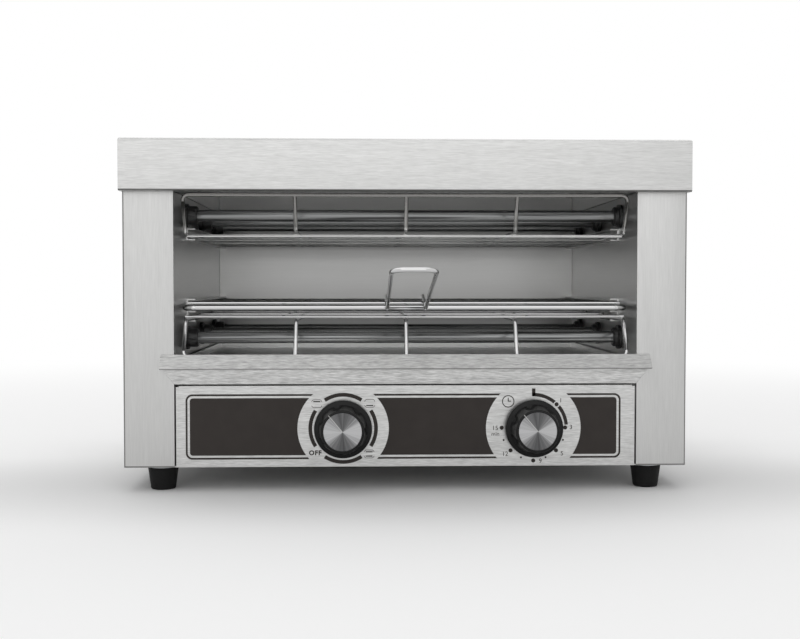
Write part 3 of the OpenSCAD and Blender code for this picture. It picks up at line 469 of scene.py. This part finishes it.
def on_mitre(edge):
    """Whether an edge runs aslant across the front, as the welded and ground mitres of the rail do."""
    way = edge.verts[1].co - edge.verts[0].co
    return min(abs(way.x), abs(way.z)) > MITRE_RUN


def is_sharp(edge):
    """Whether an edge is long and sharp enough for a maker to round it."""
    if not edge.is_manifold or on_mitre(edge):
        return False
    return edge.calc_length() > LONG_EDGE and edge.calc_face_angle(0) > math.radians(SHARP_FOLD)


def sheet_of(node, finish, flatness=FLATNESS):
    """A sheet's shape. Its second finish is a line of painted shade along its edges."""
    piece = copy_of(node, node + "_sheet", flatness)
    hand_in(piece, finish, SLOTS[node], BODIES[node], node)
    piece.data.materials.append(edge_painted_shade)
    return piece


def clear_slivers():
    """Takes edges and faces without size out of the open piece."""
    bpy.ops.mesh.select_mode(type="VERT")
    bpy.ops.mesh.select_all(action="SELECT")
    bpy.ops.mesh.dissolve_degenerate(threshold=MERGE)


def softened(node, finish):
    """A sheet's shape with its long sharp edges rounded as a press brake and a deburring belt leave them."""
    piece = sheet_of(node, finish)
    start_edit(piece, "EDGE")
    pick(piece, "edges", is_sharp)
    bpy.ops.mesh.bevel(offset=EDGE_ROUND, segments=2, affect="EDGES", clamp_overlap=True)
    clear_slivers()
    end_edit()
    smooth(SHEET_FOLD)
    return piece


def paint_edge_shade(piece, on_face, point, outward):
    """Gives the strip of the chosen faces that lies past a plane the second finish: a line of painted shade
    along an edge.
    """
    start_edit(piece, "FACE")
    pick(piece, "faces", on_face)
    bpy.ops.mesh.bisect(plane_co=point, plane_no=outward)
    mesh = bmesh.from_edit_mesh(piece.data)
    for face in mesh.faces:
        if on_face(face) and (face.calc_center_median() - point).dot(outward) > 0:
            face.material_index = 1
    bmesh.update_edit_mesh(piece.data)
    end_edit()


# A face lies level if its normal's Z is past LYING, and looks to the front if its Y is past the others
LYING = 0.95
FRONTWARD = -0.2
LIP_FRONTWARD = -0.5


def is_upright(face):
    """Whether a face stands or leans."""
    return abs(face.normal.z) < LYING


def faces_front(face):
    """Whether a face, or the round of an edge, looks to the front."""
    return face.normal.y < FRONTWARD


def on_lip(face):
    """Whether a face of the tray looks to the front, as its sloped lip does."""
    return face.normal.y < LIP_FRONTWARD


# Sheets
SHADE_LINE_W = 1.2 * MM
LIP_SHADE_LINE_W = 0.8 * MM
DOWN = Vector((0, 0, -1))
cap = softened("top_cap", cap_steel)
# Painted shade lines at the cap's lower edge, the side panels' outer and lower edges and the lip's lower
# edge
paint_edge_shade(cap, is_upright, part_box("top_cap")[0] - DOWN * SHADE_LINE_W, DOWN)
for node, outward in (("left_side_panel", Vector((-1, 0, 0))), ("right_side_panel", Vector((1, 0, 0)))):
    side_panel = softened(node, side_steel)
    to_edge = outward * (size_of(node).x / 2 - SHADE_LINE_W)
    paint_edge_shade(side_panel, faces_front, middle(node) + to_edge, outward)
    paint_edge_shade(side_panel, is_upright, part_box(node)[0] - DOWN * SHADE_LINE_W, DOWN)
softened("control_panel", panel_steel)
softened("deck", rail_steel)
tray = sheet_of("crumb_tray", lip_steel, TRAY_FLATNESS)
paint_edge_shade(tray, on_lip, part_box("crumb_tray")[0] - DOWN * LIP_SHADE_LINE_W, DOWN)
# Behind the panel's front the tray takes the near-white tone of painted light in the cavity
tray.data.materials.append(inner_painted_light)
for face in tray.data.polygons:
    if face.center.y > FRONT_Y:
        face.material_index = 2

# Wires, tubes, holders, feet, washers and gland
for node in ("rack_frame", "rack_handle", "lower_guard"):
    smoothed(node, chrome)
smoothed("upper_guard", chrome_painted_shade)
for row in ("upper", "lower"):
    for rank in ("front", "middle", "rear"):
        smoothed(f"{row}_{rank}_tube", quartz)
    for side in ("left", "right"):
        smoothed(f"{row}_{side}_holders", holder_black, TURNED_FOLD)
for end in ("front", "rear"):
    for side in ("left", "right"):
        smoothed(f"{end}_{side}_foot", rubber, TURNED_FOLD)
smoothed("foot_washers", zinc, TURNED_FOLD)
smoothed("cable_gland", holder_black, TURNED_FOLD)

# Knobs
LOBES = 7
LOBE_STEPS = 20
KNOB_FOLD = 32
SKIRT_R = size_of("selector_knob").x / 2
SKIRT_T = 6.5 * MM
RIM = 1.2 * MM
GRIP_BASE_R = 19.5 * MM
GRIP_FRONT_R = 17 * MM
TAPER_STEPS = 4
SHOULDER = 1.0 * MM
SHOULDER_IN = 0.6 * MM
SHOULDER_STEPS = 3
FLUTE_R = 7.5 * MM
FLUTE_DEPTH = 2.6 * MM
NUT_RECESS_R = 9.1 * MM
NUT_RECESS_DEPTH = 2.6 * MM
BORE_R = 3.0 * MM
knob_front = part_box("selector_knob")[0].y
knob_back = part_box("selector_knob")[1].y
shaft_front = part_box("selector_shaft")[0].y
grip_start = knob_back - SKIRT_T - RIM

# Discs, and the room that a knob's recess leaves round its disc
DISC_R = size_of("selector_disc").x / 2
DISC_RIM = 0.3 * MM
DISC_BAND = 0.4 * MM
DISC_STEPS = 128
DISC_FOLD = 35
DISC_ROOM = 0.1 * MM
disc_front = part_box("selector_disc")[0].y
disc_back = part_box("selector_disc")[1].y

# Pointer lines
POINTER_TURN = math.radians(-40)
POINTER_START = 0.2 * MM
POINTER_END = 17 * MM
POINTER_W = 0.5 * MM
POINTER_ROUND = 0.15 * MM
POINTER_PROUD = 0.03 * MM
POINTER_SUNK = 0.1 * MM

# Places nearer than NEAR count as level with each other, and a normal past ALONG as along its axis
NEAR = 0.1 * MM
ALONG = 0.99


def from_selector(point):
    """The way from the selector's axis to a point, square to the axis."""
    return Vector((point.x - selector_axis.x, 0, point.z - selector_axis.z))


def push(dy, grow=1.0):
    """Extrudes the selected face along Y and scales its new end about its own middle."""
    bpy.ops.mesh.extrude_region_move(TRANSFORM_OT_translate={"value": (0, dy, 0)})
    bpy.ops.transform.resize(value=(grow, 1, grow))


def turned_blank(name, steps, radius, front, back):
    """A round blank on the selector's axis."""
    bpy.ops.object.select_all(action="DESELECT")
    bpy.ops.mesh.primitive_cylinder_add(
        vertices=steps, radius=radius, depth=back - front, rotation=(math.pi / 2, 0, 0),
        location=(selector_axis.x, (front + back) / 2, selector_axis.z))
    piece = bpy.context.object
    piece.name = name
    settle()
    return piece


def raise_grip():
    """Raises the selected face to a tapered grip with a round shoulder. Gives the radius of its end."""
    wall_r = GRIP_BASE_R
    taper_len = grip_start - knob_front - SHOULDER
    for k in range(TAPER_STEPS):
        next_r = GRIP_BASE_R + (GRIP_FRONT_R - GRIP_BASE_R) * (k + 1) / TAPER_STEPS
        push(-taper_len / TAPER_STEPS, next_r / wall_r)
        wall_r = next_r
    lean_step = math.pi / 2 / SHOULDER_STEPS
    for k in range(SHOULDER_STEPS):
        lean = (k + 1) * lean_step
        next_r = GRIP_FRONT_R - SHOULDER_IN * (1 - math.cos(lean))
        push(-SHOULDER * (math.sin(lean) - math.sin(lean - lean_step)), next_r / wall_r)
        wall_r = next_r
    return wall_r


def flute_radius(turn):
    """Radius of the grip's outline at a turn from the pointer, cut by round flutes between lobes."""
    pitch = 2 * math.pi / LOBES
    off = (turn % pitch) - pitch / 2
    reach = GRIP_BASE_R + FLUTE_R - FLUTE_DEPTH
    inside = FLUTE_R ** 2 - (reach * math.sin(off)) ** 2
    if inside <= 0:
        return GRIP_BASE_R
    return min(GRIP_BASE_R, reach * math.cos(off) - math.sqrt(inside))


def cut_flutes(piece):
    """Draws the grip's outside in to the flutes. Its base and the recess for the disc stay round."""
    off_base = 0.01 * MM
    off_recess = 0.5 * MM
    mesh = bmesh.from_edit_mesh(piece.data)
    for vert in mesh.verts:
        out = from_selector(vert.co)
        if vert.co.y < grip_start - off_base and out.length > DISC_R + off_recess:
            turn = math.atan2(out.x, out.z) - POINTER_TURN
            near = min(out.length, flute_radius(turn))
            vert.co += out * (near / out.length - 1)
    bmesh.update_edit_mesh(piece.data)


def make_knob(name):
    """Moulded knob at the selector's place: a rimmed skirt, a tapered grip with round flutes, a recess
    for the disc, and at the back a recess for the nut and a bore for the shaft."""
    piece = turned_blank(name, LOBES * LOBE_STEPS, SKIRT_R, knob_back - SKIRT_T, knob_back)
    start_edit(piece, "EDGE")
    pick(piece, "edges", lambda e: y_run(e) < RIM)
    bpy.ops.mesh.bevel(offset=RIM, segments=4, affect="EDGES")
    bpy.ops.mesh.select_mode(type="FACE")
    pick(piece, "faces", lambda f: f.normal.y < -ALONG)
    bpy.ops.mesh.inset(thickness=SKIRT_R - RIM - GRIP_BASE_R)
    bpy.ops.transform.translate(value=(0, -RIM, 0))
    end_r = raise_grip()
    bpy.ops.mesh.inset(thickness=end_r - DISC_R - DISC_ROOM)
    push(disc_back - knob_front)
    pick(piece, "faces", lambda f: f.normal.y > ALONG and f.calc_center_median().y > knob_back - NEAR)
    bpy.ops.mesh.inset(thickness=SKIRT_R - RIM - NUT_RECESS_R)
    push(-NUT_RECESS_DEPTH)
    bpy.ops.mesh.inset(thickness=NUT_RECESS_R - BORE_R)
    push(shaft_front - knob_back + NUT_RECESS_DEPTH)
    cut_flutes(piece)
    bpy.ops.mesh.select_all(action="SELECT")
    bpy.ops.mesh.normals_make_consistent(inside=False)
    end_edit()
    smooth(KNOB_FOLD)
    return piece


def on_disc_rim(edge):
    """Whether an edge is part of the disc's front rim."""
    return all(vert.co.y < disc_front + NEAR and from_selector(vert.co).length > DISC_R - NEAR
               for vert in edge.verts)


def make_disc(name):
    """Disc at the selector's place: a turned plate with a narrow flat band inside its rounded rim."""
    piece = turned_blank(name, DISC_STEPS, DISC_R, disc_front, disc_back)
    start_edit(piece, "FACE")
    pick(piece, "faces", lambda f: f.normal.y < -ALONG)
    bpy.ops.mesh.inset(thickness=DISC_BAND)
    bpy.ops.mesh.select_mode(type="EDGE")
    pick(piece, "edges", on_disc_rim)
    bpy.ops.mesh.bevel(offset=DISC_RIM, segments=3, affect="EDGES")
    end_edit()
    smooth(DISC_FOLD)
    return piece


def make_pointer(name):
    """Pointer line: a thin inlay from the disc's middle to the grip's edge."""
    top = disc_front - POINTER_PROUD
    root = knob_front + POINTER_SUNK
    length = POINTER_END - POINTER_START
    bpy.ops.object.select_all(action="DESELECT")
    bpy.ops.mesh.primitive_cube_add(size=1, location=selector_axis)
    piece = bpy.context.object
    piece.name = name
    start_edit(piece, "EDGE")
    bpy.ops.mesh.select_all(action="SELECT")
    bpy.ops.transform.resize(value=(POINTER_W, root - top, length))
    bpy.ops.transform.translate(value=(0, (root + top) / 2 - FRONT_Y, POINTER_START + length / 2))
    pick(piece, "edges", lambda e: y_run(e) > NEAR)
    bpy.ops.mesh.bevel(offset=POINTER_ROUND, segments=2, affect="EDGES")
    end_edit()
    piece.rotation_euler.y = POINTER_TURN
    settle()
    return piece


def second(piece, name):
    """A copy of a selector piece at the timer's place."""
    made = bpy.data.objects.new(name, piece.data.copy())
    bpy.context.scene.collection.objects.link(made)
    activate(made)
    made.location = timer_axis - selector_axis
    settle()
    return made


selector_grip = make_knob("selector_grip")
timer_grip = second(selector_grip, "timer_grip")
hand_in(selector_grip, knob_black, "black_moulding", "selector", "selector_knob")
hand_in(timer_grip, knob_black, "black_moulding", "timer", "timer_knob")
selector_face = make_disc("selector_face")
timer_face = second(selector_face, "timer_face")
hand_in(selector_face, selector_alloy, "spun_alloy", "selector", "selector_disc")
hand_in(timer_face, timer_alloy, "spun_alloy", "timer", "timer_disc")
selector_line = make_pointer("selector_pointer")
timer_line = second(selector_line, "timer_pointer")
hand_in(selector_line, pointer_white, "spun_alloy", "selector")
hand_in(timer_line, pointer_white, "spun_alloy", "timer")

# Printed graphics on the panel: closed films of ink, sunk a little into the sheet
INK_T = 0.06 * MM
INK_SUNK = 0.01 * MM
INK_Y = FRONT_Y - INK_T / 2 + INK_SUNK
# Depth of a shape that cuts a film, points of a round film, and degrees to a step of an arc
DEEP = 4 * INK_T
ROUND_STEPS = 96
ARC_STEP = 2
LEAST_ARC_STEPS = 8
# Height of a figure against the size of its type, and the distance at which its points merge
FIGURE_SHARE = 0.7
FIGURE_MERGE = 0.0005 * MM
printed = []


def on_panel(x, z):
    """Point on the panel from its middle and its bottom edge, in millimetres."""
    return Vector((x * MM, INK_Y, BOTTOM_Z + z * MM))


def from_axis(axis, x, z):
    """Point on the panel from a knob's axis, in millimetres."""
    return Vector((axis.x + x * MM, INK_Y, axis.z + z * MM))


def by_clock(axis, degrees, radius):
    """Point on the panel at a clock angle and a radius in millimetres from a knob's axis."""
    turn = math.radians(degrees)
    return from_axis(axis, radius * math.sin(turn), radius * math.cos(turn))


def patch(centre, width, height, corner=0, thick=INK_T):
    """A film with straight sides and round or sharp corners. Its width, height and corner radius are in
    millimetres."""
    bpy.ops.object.select_all(action="DESELECT")
    bpy.ops.mesh.primitive_cube_add(size=1, location=centre)
    piece = bpy.context.object
    piece.scale = (width * MM, thick, height * MM)
    settle()
    if corner:
        start_edit(piece, "EDGE")
        pick(piece, "edges", lambda e: y_run(e) > thick / 2)
        bpy.ops.mesh.bevel(offset=corner * MM, segments=8, affect="EDGES")
        end_edit()
    return piece


def spot(centre, radius, thick=INK_T):
    """A round film, by its radius in millimetres."""
    bpy.ops.object.select_all(action="DESELECT")
    bpy.ops.mesh.primitive_cylinder_add(vertices=ROUND_STEPS, radius=radius * MM, depth=thick,
                                        location=centre, rotation=(math.pi / 2, 0, 0))
    piece = bpy.context.object
    settle()
    return piece


def cut(piece, *tools):
    """Takes other shapes out of a piece."""
    for tool in tools:
        activate(piece)
        step = piece.modifiers.new("cut", "BOOLEAN")
        step.operation = "DIFFERENCE"
        step.solver = "EXACT"
        step.object = tool
        bpy.ops.object.modifier_apply(modifier=step.name)
        bpy.data.objects.remove(tool)
    return piece


def arc(axis, inner, outer, first, last):
    """A film between two radii in millimetres, from one clock angle to another."""
    bpy.ops.object.select_all(action="DESELECT")
    bpy.ops.mesh.primitive_plane_add(size=1, location=(axis.x, INK_Y, axis.z))
    piece = bpy.context.object
    piece.scale = ((outer - inner) * MM, INK_T, 1)
    bpy.ops.object.transform_apply(location=False, rotation=False, scale=True)
    start_edit(piece, "FACE")
    bpy.ops.mesh.select_all(action="SELECT")
    bpy.ops.transform.translate(value=((outer + inner) / 2 * MM, 0, 0))
    steps = max(LEAST_ARC_STEPS, round((last - first) / ARC_STEP))
    bpy.ops.mesh.spin(steps=steps, angle=-math.radians(last - first),
                      center=(axis.x, INK_Y, axis.z), axis=(0, 1, 0))
    bpy.ops.mesh.select_all(action="SELECT")
    bpy.ops.mesh.normals_make_consistent(inside=False)
    end_edit()
    piece.rotation_euler.y = math.radians(first - 90)
    settle()
    return piece


def lettering(centre, body, height, weight, spacing=1.0):
    """Figures or a word as a film about a middle. height is that of a figure and weight thickens the
    strokes, both in millimetres."""
    bpy.ops.object.select_all(action="DESELECT")
    bpy.ops.object.text_add(location=centre, rotation=(math.pi / 2, 0, 0))
    text = bpy.context.object
    text.data.body = body
    text.data.size = height * MM / FIGURE_SHARE
    text.data.extrude = INK_T / 2
    text.data.offset = weight * MM
    text.data.space_character = spacing
    bpy.ops.object.convert(target="MESH")
    piece = bpy.context.object
    settle()
    start_edit(piece, "VERT")
    bpy.ops.mesh.select_all(action="SELECT")
    bpy.ops.mesh.remove_doubles(threshold=FIGURE_MERGE)
    corners = [v.co for v in bmesh.from_edit_mesh(piece.data).verts]
    low = Vector([min(c[i] for c in corners) for i in range(3)])
    high = Vector([max(c[i] for c in corners) for i in range(3)])
    bpy.ops.transform.translate(value=centre - (low + high) / 2)
    end_edit()
    return piece


# Dark field and its outline, by width, height and corner radius, both open round the knobs
FIELD_PLACE = (-1.9, 32.1)
FIELD = (339.8, 45.6, 2.4)
OUTLINE_OUTER = (346.4, 51.9, 5.2)
OUTLINE_INNER = (343.4, 48.9, 3.8)
SELECTOR_CLEAR_R = 36.3
TIMER_CLEAR_R = 38.0


def clear_rounds():
    """Tools that open the field round the two knobs."""
    return (spot(from_axis(selector_axis, 0, 0), SELECTOR_CLEAR_R, DEEP),
            spot(from_axis(timer_axis, 0, 0), TIMER_CLEAR_R, DEEP))


field_centre = on_panel(*FIELD_PLACE)
printed.append(cut(patch(field_centre, *FIELD), *clear_rounds()))
outline = cut(patch(field_centre, *OUTLINE_OUTER), patch(field_centre, *OUTLINE_INNER, DEEP))
printed.append(cut(outline, *clear_rounds()))

# Selector: four arcs, three heat signs and the word OFF
# Inner radius of each arc, clockwise from the top, with their width and half their turn in degrees
SELECTOR_ARC_R = (25.3, 24.6, 25.3, 24.6)
SELECTOR_ARC_W = 3.0
HALF_ARC = 33
# Place of each heat sign, and whether its upper and its lower tubes glow
HEAT_SIGNS = ((-20.9, 19.7, True, False), (21.1, 19.9, False, True), (20.6, -20.5, True, True))
SIGN_OUTER = (8.3, 6.7, 2.0)
SIGN_INNER = (7.5, 5.9, 1.6)
SIGN_GAP = (9.0, 2.8, 0)
SIGN_BAR = (5.6, 0.9, 0.3)
SIGN_BAR_OFF = 1.7
OFF_PLACE = (-22.2, -19.4)
OFF_HEIGHT = 3.6
OFF_WEIGHT = 0.22
OFF_SPACING = 1.16


def heat_sign(x, z, upper, lower):
    """Two facing brackets, with a bar in each one whose tubes glow."""
    centre = from_axis(selector_axis, x, z)
    ring = cut(patch(centre, *SIGN_OUTER), patch(centre, *SIGN_INNER, DEEP))
    printed.append(cut(ring, patch(centre, *SIGN_GAP, DEEP)))
    for lit, way in ((upper, 1), (lower, -1)):
        if lit:
            printed.append(patch(from_axis(selector_axis, x, z + way * SIGN_BAR_OFF), *SIGN_BAR))


for quarter, inner in enumerate(SELECTOR_ARC_R):
    printed.append(arc(selector_axis, inner, inner + SELECTOR_ARC_W,
                       90 * quarter - HALF_ARC, 90 * quarter + HALF_ARC))
for sign in HEAT_SIGNS:
    heat_sign(*sign)
printed.append(lettering(from_axis(selector_axis, *OFF_PLACE), "OFF", OFF_HEIGHT, OFF_WEIGHT, OFF_SPACING))

# Timer: start bar, arc with a ringed dot, minute dots and figures, and a clock sign
START_BAR_PLACE = (0.2, 28.3)
START_BAR = (2.8, 6.2)
# Arc by its two radii and its first and last clock angle, and the dot by its clock angle and radius
TIMER_ARC = (25.06, 27.83, -1, 85)
RINGED_DOT = (45, 26.33)
RINGED_DOT_CLEAR_R = 2.5
# Clock angle and radius of each dot that has a figure, then the clock angles of the small dots between
MINUTE_DOTS = (RINGED_DOT, (90, 25.53), (135, 25.85), (180, 26.41), (225, 25.77), (270, 25.38))
MINUTE_DOT_R = 1.65
SMALL_DOTS = (112.5, 157.5, 202.5, 247.5)
SMALL_DOTS_OUT = 25.77
SMALL_DOT_R = 0.8
# Figures and their places from the axis
FIGURES = (("1", 21.89, 21.81), ("3", 30.13, 0.4), ("5", 23.0, -20.7), ("9", 5.71, -26.57),
           ("12", -22.2, -20.86), ("15", -30.29, -0.16))
FIGURE_HEIGHT = 3.5
UNIT_PLACE = (-30.45, -5.04)
UNIT_HEIGHT = 3.1
TIMER_WEIGHT = 0.02
# Clock sign, and the place of each of its hands from its middle with the hand's size
CLOCK_PLACE = (-20.22, 21.09)
CLOCK_OUTER_R = 4.95
CLOCK_INNER_R = 4.2
CLOCK_HANDS = (((0, 1.35), (0.75, 2.9)), ((1.0, 0.2), (2.4, 0.75)))

printed.append(patch(from_axis(timer_axis, *START_BAR_PLACE), *START_BAR))
timer_arc = arc(timer_axis, *TIMER_ARC)
printed.append(cut(timer_arc, spot(by_clock(timer_axis, *RINGED_DOT), RINGED_DOT_CLEAR_R, DEEP)))
for degrees, radius in MINUTE_DOTS:
    printed.append(spot(by_clock(timer_axis, degrees, radius), MINUTE_DOT_R))
for degrees in SMALL_DOTS:
    printed.append(spot(by_clock(timer_axis, degrees, SMALL_DOTS_OUT), SMALL_DOT_R))
for figure, x, z in FIGURES:
    printed.append(lettering(from_axis(timer_axis, x, z), figure, FIGURE_HEIGHT, TIMER_WEIGHT))
printed.append(lettering(from_axis(timer_axis, *UNIT_PLACE), "min", UNIT_HEIGHT, TIMER_WEIGHT))
clock = from_axis(timer_axis, *CLOCK_PLACE)
printed.append(cut(spot(clock, CLOCK_OUTER_R), spot(clock, CLOCK_INNER_R, DEEP)))
for (x, z), hand in CLOCK_HANDS:
    printed.append(patch(clock + Vector((x * MM, 0, z * MM)), *hand))

activate(printed[0])
for film in printed:
    film.select_set(True)
bpy.ops.object.join()
panel_print = bpy.context.object
panel_print.name = "panel_print"
hand_in(panel_print, ink, "black_moulding", "body")

# Floor: pale, with a painted shadow that makes it a little darker in a pool round the toaster, and pure
# white to the camera far from it
FLOOR_SIDE = 8.0
POOL_Y = -0.06
POOL_REACH_X = 0.8
POOL_REACH_Y = 0.2
FADE_START = 0.5
FADE_END = 1.6
bpy.ops.object.select_all(action="DESELECT")
bpy.ops.mesh.primitive_plane_add(size=FLOOR_SIDE, location=(0, 0, 0))
floor = bpy.context.object
floor.name = "floor"
floor_finish, floor_tree, floor_shader = start_material(
    "pale_floor", Roughness=0.9, Specular_IOR_Level=0.1)
floor_place = add(floor_tree, "TexCoord").outputs["Object"]
pool_place = add(floor_tree, "Mapping", {"Vector": floor_place, "Location": [0, -POOL_Y / POOL_REACH_Y, 0],
                                         "Scale": [1 / POOL_REACH_X, 1 / POOL_REACH_Y, 1]})
pool_reach = add(floor_tree, "VectorMath", {0: pool_place.outputs[0]}, operation="LENGTH")
# Painted shadow: darkest in the middle of the pool, fading to the pale floor
shadow_pool = add(floor_tree, "ValToRGB", {"Fac": pool_reach.outputs["Value"]})
shadow_pool.color_ramp.interpolation = "EASE"
shadow_pool.color_ramp.elements[0].color = srgb(FLOOR_PAINTED_SHADOW)
shadow_pool.color_ramp.elements[1].color = srgb(FLOOR_PALE)
floor_tree.links.new(shadow_pool.outputs["Color"], floor_shader.inputs["Base Color"])
floor_reach = add(floor_tree, "VectorMath", {0: floor_place}, operation="LENGTH")
floor_fade = add(floor_tree, "MapRange", {"Value": floor_reach.outputs["Value"], "From Min": FADE_START,
                                          "From Max": FADE_END}, interpolation_type="SMOOTHSTEP")
floor_path = add(floor_tree, "LightPath")
floor_share = add(floor_tree, "Math", {0: floor_fade.outputs["Result"],
                                       1: floor_path.outputs["Is Camera Ray"]}, operation="MULTIPLY")
floor_white = add(floor_tree, "Emission", {"Color": srgb(WHITE), "Strength": 1.0})
floor_mix = add(floor_tree, "MixShader", {0: floor_share.outputs[0], 1: floor_shader.outputs[0],
                                          2: floor_white.outputs[0]})
floor_end = floor_tree.nodes["Material Output"]
floor_tree.links.new(floor_mix.outputs[0], floor_end.inputs["Surface"])
floor.data.materials.append(floor_finish)

# World: lights the toaster with a dome, and is white to the camera, in mirrors and through glass
DOME = 0.7
world = bpy.data.worlds.new("studio")
bpy.context.scene.world = world
world.use_nodes = True
sky = world.node_tree
path = add(sky, "LightPath")
seen = add(sky, "Math", {0: path.outputs["Is Camera Ray"], 1: path.outputs["Is Glossy Ray"]},
           operation="MAXIMUM")
clear = add(sky, "Math", {0: seen.outputs[0], 1: path.outputs["Is Transmission Ray"]}, operation="MAXIMUM")
level = add(sky, "MapRange", {"Value": clear.outputs[0], "To Min": DOME, "To Max": 1.0})
backdrop = sky.nodes["Background"]
backdrop.inputs["Color"].default_value = srgb(WHITE)
sky.links.new(level.outputs["Result"], backdrop.inputs["Strength"])

# Lamps, with their power in watts
LAMP_SIDE = 2.2
LAMP_AIM = Vector((0, 0, 0.1))
KEY_PLACE = Vector((-0.2, 0.45, 1.9))
KEY_POWER = 10
FRONT_PLACE = Vector((-0.2, -1.9, 1.15))
FRONT_POWER = 8


def soft_box(name, place, power):
    """A square studio lamp that points at the toaster."""
    bpy.ops.object.light_add(type="AREA", location=place)
    lamp = bpy.context.object
    lamp.name = name
    lamp.data.shape = "SQUARE"
    lamp.data.size = LAMP_SIDE
    lamp.data.energy = power
    lamp.rotation_euler = (LAMP_AIM - place).to_track_quat("-Z", "Y").to_euler()


soft_box("key_box", KEY_PLACE, KEY_POWER)
soft_box("front_box", FRONT_PLACE, FRONT_POWER)

# Camera, fitted to the photograph, with its lens and sensor in millimetres
CAMERA_PLACE = Vector((-33.21, -970.78, 164.17)) * MM
CAMERA_DOWN = math.radians(1.788)
CAMERA_RIGHT = math.radians(1.807)
bpy.ops.object.camera_add(location=CAMERA_PLACE, rotation=(math.pi / 2 - CAMERA_DOWN, 0, -CAMERA_RIGHT))
camera = bpy.context.object
camera.data.lens = 50
camera.data.sensor_width = 36
bpy.context.scene.camera = camera
bpy.context.scene.view_settings.view_transform = "Standard"
